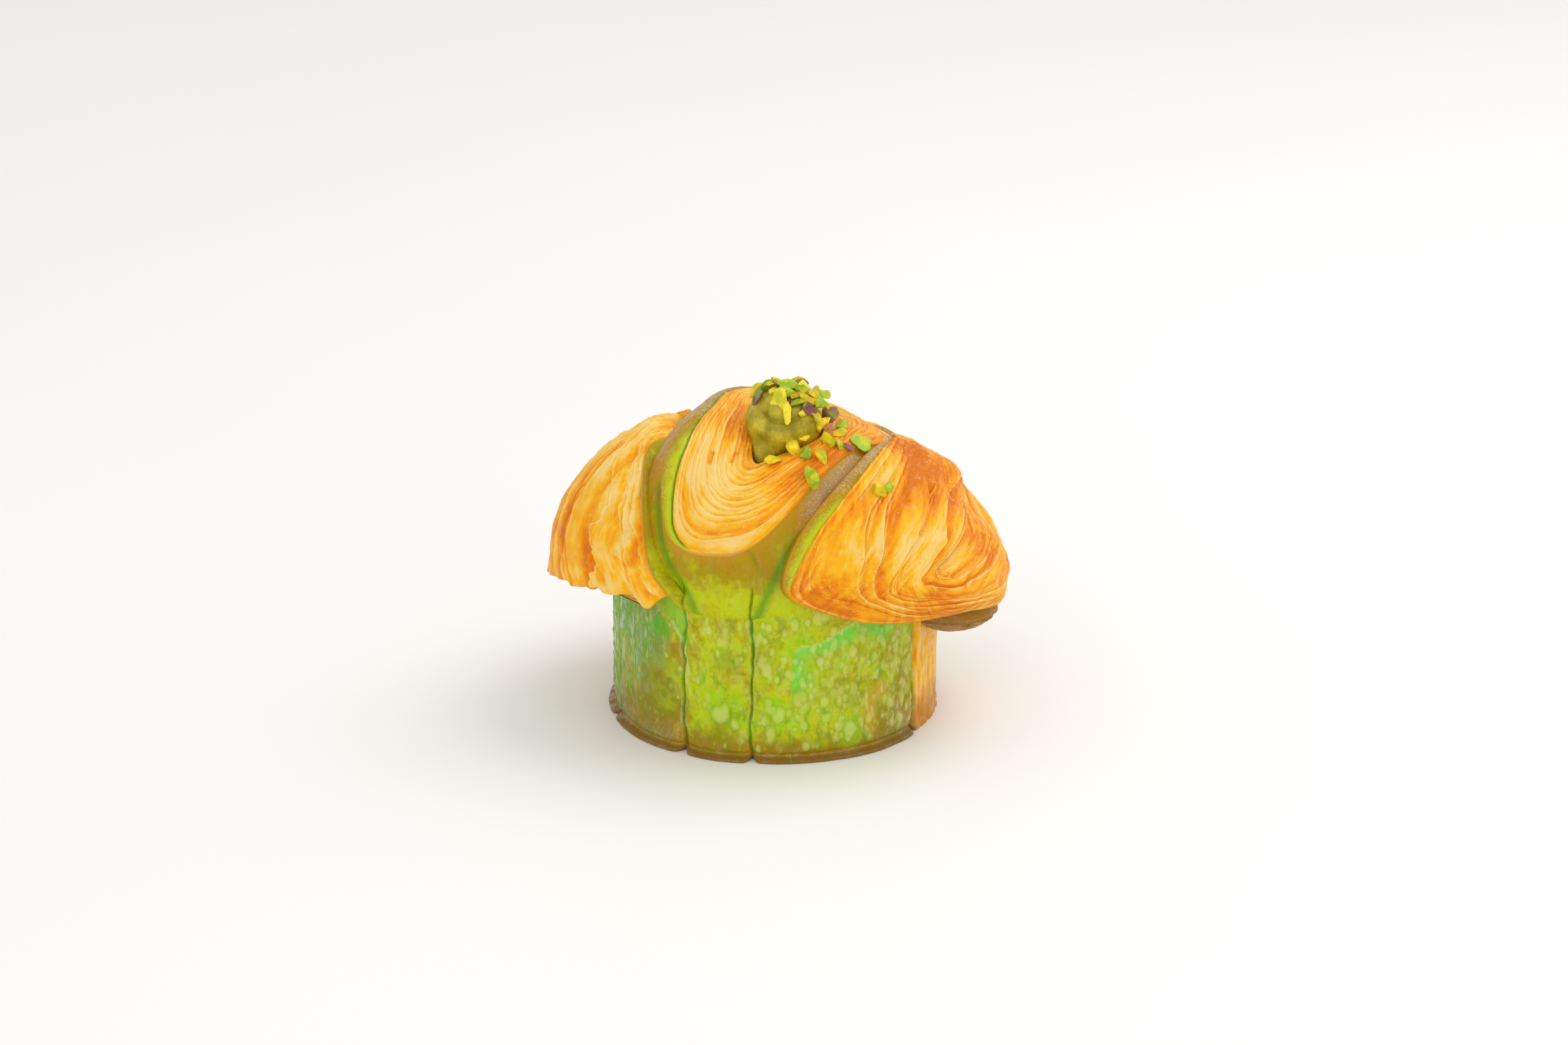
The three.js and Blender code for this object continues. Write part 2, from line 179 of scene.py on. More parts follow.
LEAVES = {
    "middle_ring": {
        "seed": 11, "rows": 150, "skin_rows": 58, "stations": 430,
        "widths": ([1, 0.8, 1, 0.7, 1, 1.2, 0.8, 1, 1.1, 0.8, 1.2, 0.9, 1.3, 1.1, 1.5],),
        "crest": 0.3, "terrace": 0.08, "gap": 0.03, "hang": 0.03, "drift": 0.8, "vary": 0.5,
        "lumps": 0.3, "wild": 0.45, "bake": 0.29,
        "strip": [
            (0, 0.3), (0.1, 0.3), (0.2, 0.28), (0.25, 0.19), (0.3, 0.1), (0.35, 0.03), (0.38, 0),
            (0.8, 0), (1, 0.3),
        ],
        "groove": 0.8,
        "strip_browning": (0.36, [(-165, 74, 9, 0.5), (140, 75, 25, 0.6), (-120, 30, 14, -0.08)]),
        "spots": [
            (-121, 54, 9, -0.3), (-111, 43, 9, -0.18), (-107, 32, 9, 0.06), (-75, 53, 12, 0.3),
            (-87, 45, 8, 0.12), (-112, 68, 6, 0.35), (-134, 76, 9, 0.25), (-40, 66, 22, 0.35),
            (-104, 60, 4, 0.2),
        ],
        "creases": [
            ([(-121, 57), (-119, 52)], 0.5, 0.7, 0.3), ([(-111, 59), (-111, 54)], 0.4, 0.5, 0.3),
        ],
        # The first two browning spots, at the upper left, push the skin to taupe as a painted
        # grey-brown sheen.
        "browning": (0.55, [
            (-160, 63, 14, 0.45), (161, 72, 30, 0.4), (-134, 44, 8, 0.08), (-126, 27, 8, -0.02),
            (-118, 12, 7, -0.35), (-104, 22, 6, 0.06), (-94, 22, 5, 0.04), (-75, 42, 10, 0.35),
            (-60, 52, 10, 0.4), (-87, 18, 4, -0.4), (-150, 58, 8, -0.1), (-105, 8, 8, -0.22),
        ]),
        "skin_creases": [
            ([(-136, 44), (-124, 24), (-118, 12), (-113, 1)], 0.8, 0.65, 0.8),
            ([(-98.5, 26), (-96, 22), (-94, 17)], 0.4, 0.3, 0.35),
            ([(-97, 0), (-95, 5), (-91.5, 15), (-87.5, 24), (-82, 32)], 0.7, 0.5, 0.9),
            ([(-108, 21), (-107, 15), (-107, 9)], 0.3, 0.2, 0.15),
        ],
    },
    "right_hairpin": {
        **HAIRPIN_LEAVES,
        "seed": 23, "rows": 196, "stations": 430, "terrace": 0.24, "gap": 0.1, "bake": 0.42,
        "widths": (
            [1.2, 0.5, 2.4, 0.4, 3, 2.2, 0.4, 0.35, 0.4, 3.6, 0.4, 2.4, 0.4, 3.2, 1.8, 0.6],
            [1.8, 2.8, 0.4, 0.4, 2.4, 2.8, 0.4, 0.35, 0.5, 2.4, 1.8, 0.4, 0.5, 0.4, 0.5, 0.6],
        ),
        "strip": [(0, 0.09), (0.1, 0.09), (0.22, 0.085), (0.3, 0.05), (0.36, 0), (1, 0)],
        "groove": 0.15,
        "strip_browning": (0.44, [(-45, 55, 18, 0.5), (-15, 57, 30, 0.5), (-84, 22, 9, -0.06)]),
        "spots": [
            (-57, 23, 8, -0.42), (-50, 27, 6, -0.25), (-62, 37, 5, 0.3), (-67, 31, 5, 0.12),
            (-76, 12, 11, 0.14),
            (-49, 3, 12, 0.22), (-26, 43, 11, 0.28), (-10, 30, 16, 0.2), (-35, 14, 8, -0.22),
            (-30, 25, 5, -0.25), (-22, 53, 8, 0.4), (-48, 46, 6, -0.2), (-10, 0, 16, 0.15),
        ],
        "creases": [
            ([(-13, 52), (-41, 42), (-57, 30), (-64, 18), (-65, 7)], 1.1, 0.8, 0.16),
            ([(-19, 51), (-33, 38), (-42, 31), (-49, 25)], 1.0, 0.8, 0.14),
            ([(-50, 8), (-35, 8), (-15, 12)], 1.1, 0.8, 0.24),
            ([(-12, 42), (-22, 34), (-34, 26)], 1.1, 0.7, 0.14),
            ([(-14, 18), (-30, 13), (-42, 10)], 1.0, 0.5, 0.2),
        ],
    },
    "left_drape": {
        "seed": 37, "rows": 196, "skin_rows": 22, "stations": 300,
        "widths": ([1.2, 1, 1, 0.8, 1.4, 1.3, 0.5, 0.5, 0.4, 3.2, 3.6, 0.6, 1.4, 0.8],),
        "crest": 0.45, "terrace": 0.24, "gap": 0.1, "hang": 0.1, "drift": 0.7, "vary": 0.4,
        "lumps": 0.5, "wild": 0.55, "bake": 0.31,
        "strip": [(0, 0), (1, 0)],
        "groove": 0,
        "strip_browning": (0.5, []),
        "spots": [
            (-153, 47, 13, -0.55), (-150, 30, 7, -0.3), (-178, 2, 10, 0.25), (-163, 32, 8, 0.12),
            (-143, 16, 7, 0.02), (175, 20, 14, 0.2), (-160, 12, 8, 0.12), (-146, 30, 5, 0.15),
            (-165, 22, 8, 0.15),
        ],
        "creases": [
            ([(-166, 59), (-158, 43), (-151, 21), (-140, 8)], 1.3, 0.8, 0.35),
            ([(-175, 49), (-167, 30), (-162, 11)], 1.2, 0.7, 0.3),
            ([(-143, 41), (-136, 28), (-137, 17)], 0.8, -0.8, -0.3),
            ([(-139, 38), (-133, 27), (-132, 15)], 0.9, 0.7, 0.3),
        ],
        "browning": (0.5, [(-125, 15, 9, -0.1), (-130, 40, 12, 0.05)]),
    },
    "back_right_hairpin": {
        **HAIRPIN_LEAVES,
        "seed": 41,
        "widths": (
            [1.4, 0.4, 2.4, 0.4, 0.4, 2.8, 2, 0.4, 3, 0.4, 2.4, 0.4, 1.8, 0.5, 0.8],
            [1.6, 2.8, 0.4, 0.4, 2.4, 2.2, 0.4, 0.4, 2.4, 1.8, 0.4, 0.5, 0.4, 0.5, 0.6],
        ),
        "strip": [(0, 0.1), (0.3, 0.15), (0.42, 0), (1, 0)],
        "strip_browning": (0.45, [(50, 55, 20, 0.4)]),
        "spots": [(64, 18, 12, -0.3), (50, 38, 12, -0.15), (95, 30, 12, 0.12)],
        "creases": [
            ([(60, 56), (50, 36), (50, 12)], 1.4, 0.9, 0.4),
            ([(84, 55), (86, 30), (80, 8)], 1.4, 0.9, 0.4),
        ],
    },
    "back_left_hairpin": {
        **HAIRPIN_LEAVES,
        "seed": 53,
        "widths": (
            [1, 2.4, 0.4, 0.4, 2.6, 1.8, 0.4, 0.4, 3, 1.5, 0.4, 2.4, 0.4, 1.4, 0.8],
            [1.4, 0.4, 2.4, 0.4, 2.8, 0.4, 1.6, 0.4, 2.8, 1.2, 0.5, 0.4, 0.5, 0.4, 0.6],
        ),
        "strip": [(0, 0.12), (0.3, 0.15), (0.42, 0), (1, 0)],
        "strip_browning": (0.35, [(105, 60, 20, 0.5)]),
        "spots": [(141, 15, 12, -0.3), (122, 40, 12, -0.15), (100, 0, 14, 0.2)],
        "creases": [
            ([(124, 58), (116, 36), (118, 10)], 1.4, 0.9, 0.4),
            ([(152, 50), (154, 28), (150, 6)], 1.4, 0.9, 0.4),
        ],
    },
}


# ---------------------------------------------------------------- sizes and colours

def length(name, description, default):
    """A length in metres, or a place or three half sizes where the default has three numbers."""
    settings = {"name": name, "description": description, "unit": "LENGTH", "default": default}
    if isinstance(default, tuple):
        return FloatVectorProperty(size=3, **settings)
    return FloatProperty(**settings)


def factor(name, description, default):
    """A share of something."""
    return FloatProperty(name=name, description=description, subtype="FACTOR", default=default)


def colour(name, description, default):
    """A colour as red, green and blue, linear."""
    settings = {"name": name, "description": description, "default": default}
    return FloatVectorProperty(subtype="COLOR", size=3, **settings)


class CrownSizes(bpy.types.PropertyGroup):
    """The dome that the strands lie on, and how deep their buried roots go."""

    centre: length("Dome centre", "Middle of the dome", (0.001, 0, 0.034))
    left: length("Left", "Half width to the left", 0.053)
    right: length("Right", "Half width to the right", 0.054)
    front: length("Front", "Half depth to the front", 0.043)
    back: length("Back", "Half depth to the back", 0.047)
    high: length("Height", "Height over the centre", 0.0425)
    root: factor("Root", "Height of a strand's root", 0.62)


class WallSizes(bpy.types.PropertyGroup):
    """The moulded wall."""

    radius: length("Radius", "Radius of the wall", 0.0376)
    height: length("Height", "Height of the wall", 0.0445)
    lip: length("Lip", "Radius of the foot's lip", 0.0392)
    swell: length("Swell", "Bulge of each panel", 0.0008)
    seam: length("Seam", "Depth of each seam", 0.0008)
    columns: IntProperty(name="Columns", description="Columns of the wall's mesh", default=820)
    rows: IntProperty(name="Rows", description="Rows of the wall's mesh", default=103)


class CreamSizes(bpy.types.PropertyGroup):
    """The ball of cream and its tail."""

    centre: length("Centre", "Middle of the ball", (0.0022, -0.0112, 0.074))
    radius: length("Radius", "Radius of the ball", 0.009)
    height: length("Height", "Half height of the ball", 0.0075)
    tail: length("Tail", "Length of the tail", 0.004)
    fill: length("Fill", "How far the cream runs into the hollow behind it", 0.0046)
    groove: length("Groove", "Depth of the swirl's groove", 0.0009)


class FlapSizes(bpy.types.PropertyGroup):
    """The browned flap under the right lobe."""

    centre: length("Centre", "Middle of the flap", (0.0415, -0.012, 0.0284))
    half: length("Half sizes", "Half width, depth and height", (0.0112, 0.0084, 0.0058))


class NutSizes(bpy.types.PropertyGroup):
    """The chopped nuts."""

    small: length("Smallest", "Shortest nut", 0.0023)
    large: length("Largest", "Longest nut", 0.0046)
    over_top: length("Over the top", "How far nuts may rise over the frame's top", 0.0019)
    bed: factor("Bed", "Share of a nut under the surface", 0.3)


class Colours(bpy.types.PropertyGroup):
    """The colours of the baked dough, its green skin, the cream and the nuts."""

    pale: colour("Pale crumb", "Least baked dough", (0.93, 0.63, 0.19))
    gold: colour("Gold", "Lightly baked dough", (0.95, 0.5, 0.012))
    amber: colour("Amber", "Well baked dough", (0.9, 0.3, 0.001))
    brown: colour("Brown", "Darkest baked dough", (0.72, 0.18, 0.001))
    lime: colour("Lime", "Fresh green skin", (0.3, 0.6, 0.003))
    leaf: colour("Yellow green", "Lightly baked skin", (0.54, 0.59, 0.003))
    olive: colour("Olive", "Well baked skin", (0.4, 0.29, 0.001))
    toast: colour("Toast", "Browned skin", (0.47, 0.22, 0.003))
    # Taupe is glazed brown skin, and at the upper left of the middle ring a painted sheen.
    taupe: colour("Taupe", "Glazed brown skin", (0.43, 0.27, 0.1))
    mint: colour("Mint", "Palest green skin", (0.2, 0.7, 0.06))
    # Moss is the dark green of the seams, which are dark joints, and painted shade in the strands'
    # grooves and skin creases.
    moss: colour("Moss", "Dark green in the seams", (0.05, 0.27, 0.008))
    blister: colour("Blister", "Dry top of a blister", (0.6, 0.68, 0.16))
    # Crest: pale raised edge of a leaf, partly dry dough, partly a painted highlight on the ridge.
    crest: colour("Crest", "Dry raised edge of a leaf", (0.96, 0.74, 0.28))
    # Gap: dough in the gap under a leaf's crest, deeper baked and partly painted shade.
    gap: colour("Gap", "Dough in the gap under a leaf", (0.78, 0.22, 0.003))
    bubble: colour("Bubble", "Small dry bubbles in the crust", (0.96, 0.76, 0.32))
    # Painted glints: pale specks that stand for light glittering on the glaze.
    sparkle: colour("Sparkle", "Dry specks on glazed skin", (0.8, 0.56, 0.3))
    speck: colour("Speck", "Pale specks on the strip along a rim", (0.8, 0.6, 0.12))
    rim: colour("Rim", "Browned line along a rim", (0.58, 0.27, 0.012))
    # Char darkens the flap under the right lobe: partly browning, partly painted shade.
    char: colour("Char", "What darker dough is mixed with", (0.14, 0.05, 0.012))
    bottle: colour("Dark green", "Darker mottling of the wall", (0.19, 0.32, 0.004))
    shade: colour("Dark olive", "Dark patches low on the wall", (0.17, 0.19, 0.008))
    toasted: colour("Toasted patch", "Torn patch of browned leaves", (0.62, 0.33, 0.015))
    teal: colour("Torn skin", "Wall where its skin is rubbed away", (0.14, 0.36, 0.06))
    fibre: colour("Fibre", "Dry upright fibres on the torn skin", (0.5, 0.55, 0.3))
    grass: colour("Grass green", "Fresh green patches on the wall", (0.1, 0.4, 0.008))
    ring: colour("Blister's ring", "Darker ring round a blister", (0.2, 0.34, 0.004))
    torn_edge: colour("Torn edge", "Pale edge of torn skin", (0.66, 0.72, 0.3))
    seam_lip: colour("Seam's lip", "Pale lips beside a seam", (0.62, 0.7, 0.22))
    lip: colour("Foot's lip", "Browned lip at the foot", (0.22, 0.11, 0.018))
    cut_foot: colour("Cut panel's foot", "Browned foot of the cut panel", (0.5, 0.18, 0.025))
    cream: colour("Cream", "Pistachio cream", (0.44, 0.36, 0.015))
    nut_yellow: colour("Yellow nut", "Yellow nuts", (0.95, 0.66, 0.01))
    nut_green: colour("Green nut", "Green nuts", (0.32, 0.48, 0.008))
    nut_purple: colour("Purple nut", "Nuts with their skin on", (0.26, 0.09, 0.08))


class StageSizes(bpy.types.PropertyGroup):
    """The floor, the lights and the camera."""

    elevation: FloatProperty(
        name="Elevation", description="Camera's height angle", subtype="ANGLE",
        default=math.radians(19.62),
    )
    distance: length("Distance", "Camera to the pastry", 0.8759)
    look_at: length("Look at", "The point in the middle of the view", (0.00232, 0, 0.04519))
    lens: FloatProperty(
        name="Lens", description="Focal length in millimetres", subtype="DISTANCE_CAMERA", default=85,
    )
    sky: FloatProperty(name="Sky", description="Strength of the even light", default=0.8)
    key: FloatProperty(name="Key light", description="Main lamp", unit="POWER", default=3.6)
    fill: FloatProperty(name="Fill light", description="Front lamp", unit="POWER", default=1.6)


# ---------------------------------------------------------------- numpy helpers

def unit(vectors):
    """Each vector divided by its length."""
    return vectors / np.linalg.norm(vectors, axis=-1, keepdims=True)


def towards(azimuth, elevation):
    """Unit directions of azimuths and elevations in degrees."""
    azimuth, elevation = np.radians(azimuth), np.radians(elevation)
    level = np.cos(elevation)
    return np.stack([level * np.cos(azimuth), level * np.sin(azimuth), np.sin(elevation)], -1)


def smoothstep(share):
    """3 share ** 2 - 2 share ** 3."""
    return share * share * (3 - 2 * share)


def ease(values, low, high):
    """0 below low, 1 above high, and the smoothstep curve between."""
    return smoothstep(np.clip((values - low) / (high - low), 0, 1))


def hump(values, middle, reach):
    """Bell curve: exp of minus the squared distance from the middle, counted in reaches."""
    return np.exp(-(((values - middle) / reach) ** 2))


def lattice_noise(places, size, seed):
    """Smooth noise from -1 to 1. Seeded values sit on a lattice whose cells have that size. A place
    takes the mean of its cell's corners, each weighted by the smoothstep of the place in the cell."""
    scaled = np.asarray(places, float) / size
    cell = np.floor(scaled).astype(int)
    share = smoothstep(scaled - cell)
    dimensions = scaled.shape[-1]
    values = np.random.default_rng(seed).uniform(-1, 1, (LATTICE,) * dimensions)
    total = np.zeros(scaled.shape[:-1])
    for corner in itertools.product((0, 1), repeat=dimensions):
        weight = np.prod(np.where(corner, share, 1 - share), axis=-1)
        index = (cell + corner) % LATTICE
        total += weight * values[tuple(np.moveaxis(index, -1, 0))]
    return total


def cloud(places, size, seed, octaves=3):
    """Noise from about -1 to 1: lattice noises of halved sizes, each half as strong as the last."""
    shares = [0.5**i for i in range(octaves)]
    parts = [s * lattice_noise(places, size * s, seed + i) for i, s in enumerate(shares)]
    return sum(parts) / sum(shares)


def wander(run, cells, tracks, seed, closed):
    """One smooth random track from -1 to 1 along the run for each leaf: seeded values at even
    stations, eased from each to the next."""
    values = np.random.default_rng(seed).uniform(-1, 1, (cells + 1, tracks))
    if closed:
        values[-1] = values[0]
    place = run * cells
    station = np.minimum(place.astype(int), cells - 1)
    share = smoothstep((place - station)[:, None])
    return values[station] * (1 - share) + values[station + 1] * share


def smooth_line(places, count, closed):
    """Catmull-Rom line through places on the dome: the vectors from its centre whose length is the
    height, at even steps of the parameter. Gives unit directions and heights."""
    picks = np.array(places, float)
    points = towards(picks[:, 0], picks[:, 1]) * picks[:, 2:]
    total = len(points)
    if closed:
        place = np.arange(count) / count * total
        start = place.astype(int)
        a, b, c, d = (points[(start + k) % total] for k in (-1, 0, 1, 2))
    else:
        place = np.linspace(0, total - 1, count)
        start = np.minimum(place.astype(int), total - 2)
        padded = np.vstack([2 * points[0] - points[1], points, 2 * points[-1] - points[-2]])
        a, b, c, d = (padded[start + k] for k in (0, 1, 2, 3))
    t = (place - start)[:, None]
    bend = (2 * a - 5 * b + 4 * c - d) * t**2
    line = 0.5 * (2 * b + (c - a) * t + bend + (3 * b - a - 3 * c + d) * t**3)
    return unit(line), np.linalg.norm(line, axis=-1)


def degrees_from(azimuth, middle):
    """Degrees from the middle to an azimuth, from -180 to 180."""
    return (azimuth - middle + 180) % 360 - 180


def glow(directions, spots):
    """Sum over the spots of amount times the bell curve of the angle to the spot's middle."""
    total = np.zeros(directions.shape[:-1])
    for azimuth, elevation, reach, amount in spots:
        angle = np.degrees(np.arccos(np.clip(directions @ towards(azimuth, elevation), -1, 1)))
        total += amount * hump(angle, 0, reach)
    return total


def dome_axes(directions):
    """Half sizes of the dome, in millimetres, in the directions' octants."""
    sizes = bpy.context.scene.crown_sizes
    side = np.where(directions[..., 0] < 0, sizes.left, sizes.right)
    depth = np.where(directions[..., 1] < 0, sizes.front, sizes.back)
    return np.stack([side, depth, np.full(side.shape, sizes.high)], -1) / MM


def on_dome(directions, heights):
    """Points at those heights over the dome's centre: centre + height * half sizes * direction."""
    centre = np.array(bpy.context.scene.crown_sizes.centre) / MM
    return centre + np.asarray(heights)[..., None] * dome_axes(directions) * unit(directions)


def directions_from_centre(points):
    """The dome directions that points lie in, the reverse of on_dome."""
    offset = points - np.array(bpy.context.scene.crown_sizes.centre) / MM
    return unit(offset / dome_axes(offset))


def dome_normals(directions):
    """Outward normals of the dome: direction divided by the half sizes."""
    return unit(unit(directions) / dome_axes(directions))


# ---------------------------------------------------------------- meshes

def grid_faces(rings, count, closed):
    """Quads between neighbouring rings of a grid, and, where the run is open, fans from each end
    ring to a point that follows the grid's own."""
    ring = np.arange(rings if closed else rings - 1)[:, None]
    place = np.arange(count)[None, :]
    next_ring, next_place = (ring + 1) % rings, (place + 1) % count
    corners = [
        ring * count + place, next_ring * count + place,
        next_ring * count + next_place, ring * count + next_place,
    ]
    quads = np.stack(corners, -1).reshape(-1, 4)
    if closed:
        return quads, np.zeros((0, 3), int)
    here, there = place[0], next_place[0]
    base = (rings - 1) * count
    first = np.stack([np.full(count, rings * count), here, there], -1)
    last = np.stack([np.full(count, rings * count + 1), base + there, base + here], -1)
    return quads, np.vstack([first, last])


def add_surface(name, points, fields, closed, material):
    """Closed mesh from a grid of points in millimetres, rings by places round each ring. The last
    ring joins the first where the run is closed, and each open end is closed by a fan to the middle
    of its ring. Fields become point attributes of the same names."""
    rings, count = points.shape[:2]
    vertices = points.reshape(-1, 3)
    quads, fans = grid_faces(rings, count, closed)
    values = {
        key: np.broadcast_to(value, (rings, count)).reshape(-1) for key, value in fields.items()
    }
    if not closed:
        vertices = np.vstack([vertices, points[0].mean(0), points[-1].mean(0)])
        values = {
            key: np.append(value, [value[:count].mean(), value[-count:].mean()])
            for key, value in values.items()
        }
    if enclosed_volume(vertices, quads) < 0:
        quads, fans = quads[:, ::-1], fans[:, ::-1]
    return add_mesh(name, vertices, [quads, fans], values, material)


def enclosed_volume(vertices, quads):
    """Signed volume under the quads, from the triple product of each one's corners."""
    a, b, c, d = (vertices[quads[:, k]] - vertices.mean(0) for k in range(4))
    return (a * np.cross(b, c)).sum() + (a * np.cross(c, d)).sum()


def add_mesh(name, vertices, face_groups, values, material):
    """Object with that mesh, in metres, smooth, with one float attribute for each of the values."""
    mesh = bpy.data.meshes.new(name)
    mesh.vertices.add(len(vertices))
    mesh.vertices.foreach_set("co", (vertices * MM).astype(np.float32).ravel())
    corners = np.concatenate([group.ravel() for group in face_groups])
    sizes = np.concatenate([np.full(len(group), group.shape[1]) for group in face_groups])
    mesh.loops.add(len(corners))
    mesh.loops.foreach_set("vertex_index", corners.astype(np.int32))
    mesh.polygons.add(len(sizes))
    starts = np.concatenate([[0], np.cumsum(sizes)[:-1]])
    mesh.polygons.foreach_set("loop_start", starts.astype(np.int32))
    mesh.polygons.foreach_set("use_smooth", np.ones(len(sizes), bool))
    for key, value in values.items():
        attribute = mesh.attributes.new(key, "FLOAT", "POINT")
        attribute.data.foreach_set("value", value.astype(np.float32))
    mesh.update(calc_edges=True)
    mesh.validate()
    mesh.materials.append(material)
    piece = bpy.data.objects.new(name, mesh)
    bpy.context.scene.collection.objects.link(piece)
    return piece


# ---------------------------------------------------------------- strands

# Relief in millimetres of the fine sheets, the rim and the skin's broad and small dents.
SHEET_RISE = 0.26
RIM_RISE = 0.25
BROAD_DENTS = 0.3
SMALL_DENTS = 0.12

# How strongly the fine sheets and a leaf's own tone change the baking. Raised sheets come out paler
# and sunken ones darker, and a leaf is darker low down under the next leaf's crest: partly baking,
# partly painted light and shade.
SHEET_LIGHT_AND_BAKE = 0.38
TONE_AND_SHADE_BAKE = 0.24


def inner_line(strand, count):
    """Directions and heights of the inner line. On a hairpin both arms share the slit: the place
    down the slit grows to 1 at the crotch, stays there for the turn, and falls to 0 again."""
    if "inner" in strand:
        return smooth_line(strand["inner"], count, strand["closed"])
    steps = 400
    dense, heights = smooth_line(strand["slit"], steps, False)
    run = np.linspace(0, 1, count)
    down, up = strand["crotch"]
    travelled = np.clip(np.where(run < 0.5, run / down, (1 - run) / (1 - up)), 0, 1)
    samples = np.linspace(0, 1, steps)
    line = np.stack([np.interp(travelled, samples, dense[:, k]) for k in range(3)], -1)
    return unit(line), np.interp(travelled, samples, heights)


def softened(lines, reach, closed):
    """A line blurred along its run: each place takes the bell-weighted mean of its neighbours."""
    steps = np.arange(-3 * reach, 3 * reach + 1)
    weights = hump(steps, 0, reach)
    places = np.arange(len(lines))[:, None] + steps
    places = places % len(lines) if closed else np.clip(places, 0, len(lines) - 1)
    return (lines[places] * weights[None, :, None]).sum(1) / weights.sum()


def face_lines(strand, rim, inner, rim_height, inner_height, across):
    """Directions and heights of the cut face, a share of the way from the inner line to the rim.
    The nearer to the inner line, the more a line follows a softened rim, so that folds turn round."""
    reach = 50
    soft = unit(softened(rim, reach, strand["closed"])) if "slit" in strand else rim
    share = across[..., None]
    outer = unit(soft[:, None] + (rim - soft)[:, None] * share**3)
    directions = unit((1 - share) * inner[:, None] + share * outer)
    heights = (1 - across) * inner_height[:, None] + across * rim_height[:, None]
    return directions, heights


def creased(directions, paths):
    """Depth in millimetres and darkening of creases, partly baking and partly painted shade, lighter
    instead on a raised one: for each, its depth times the bell curve of the angle to the nearest point
    of its path, fading at both ends of the path."""
    depth = np.zeros(directions.shape[:-1])
    bake = np.zeros(directions.shape[:-1])
    steps = 60
    for path, reach, deep, dark in paths:
        line, _ = smooth_line([(*place, 1) for place in path], steps, False)
        angle = np.degrees(np.arccos(np.clip(directions @ line.T, -1, 1)))
        nearest = angle.argmin(-1)
        fade = np.clip(6 * np.sin(math.pi * (nearest + 0.5) / steps), 0, 1)
        closest = angle.min(-1)
        depth += fade * deep * hump(closest, 0, reach)
        bake += fade * dark * hump(closest, 0, 2.2 * reach)
    return depth, bake


def leaf_edges(run, strand, leaves):
    """Edges of the leaves across the cut face, as shares from the inner line to the rim, at each
    station: sums of the leaf widths, which swell and pinch along the run, each edge moved by its own
    random wandering. The last of them starts the strip along the rim."""
    closed, seed = strand["closed"], leaves["seed"]
    start, end = leaves["widths"][0], leaves["widths"][-1]
    turn = ease(run, 0.42, 0.58)[:, None]
    widths = (1 - turn) * np.array(start) + turn * np.array(end)
    widths = widths * np.exp(leaves["vary"] * wander(run, 9, widths.shape[1], seed + 9, closed))
    edges = np.cumsum(widths, 1)
    edges = edges[:, :-1] / edges[:, -1:]
    inside = edges.shape[1]
    slow = wander(run, 7, inside, seed + 1, closed)
    quick = wander(run, 44, inside, seed + 2, closed)
    narrow = np.minimum(widths[:, :-1], widths[:, 1:]) / widths.sum(1, keepdims=True)
    edges = edges + narrow * (leaves["drift"] * 0.6 * slow + 0.12 * quick)
    edges = np.sort(edges, axis=1)
    strip = np.array(leaves["strip"], float)
    top = 1 - np.maximum(np.interp(run, strip[:, 0], strip[:, 1]), 0.012)[:, None]
    ends = np.ones((len(run), 1))
    return np.hstack([0 * ends, edges * top, top, ends])


def leaf_rows(edges, rows):
    """Which leaf each row of the mesh lies on, and where in it, from 0 to 1. Wide leaves get more
    rows. Rows crowd at both edges of a leaf, where share - sin(2 pi share) / spread is flattest."""
    mean = (edges[:, 1:] - edges[:, :-1]).mean(0)
    fewest, spread = 6, 7.4
    spare = rows - 1 - fewest * len(mean)
    counts = fewest + np.floor(spare * mean / mean.sum()).astype(int)
    counts[np.argmax(mean)] += rows - 1 - counts.sum()
    index = np.append(np.repeat(np.arange(len(mean)), counts), len(mean) - 1)
    share = np.concatenate([np.arange(count) / count for count in counts])
    phase = np.append(share - np.sin(2 * math.pi * share) / spread, 1)
    return index, phase


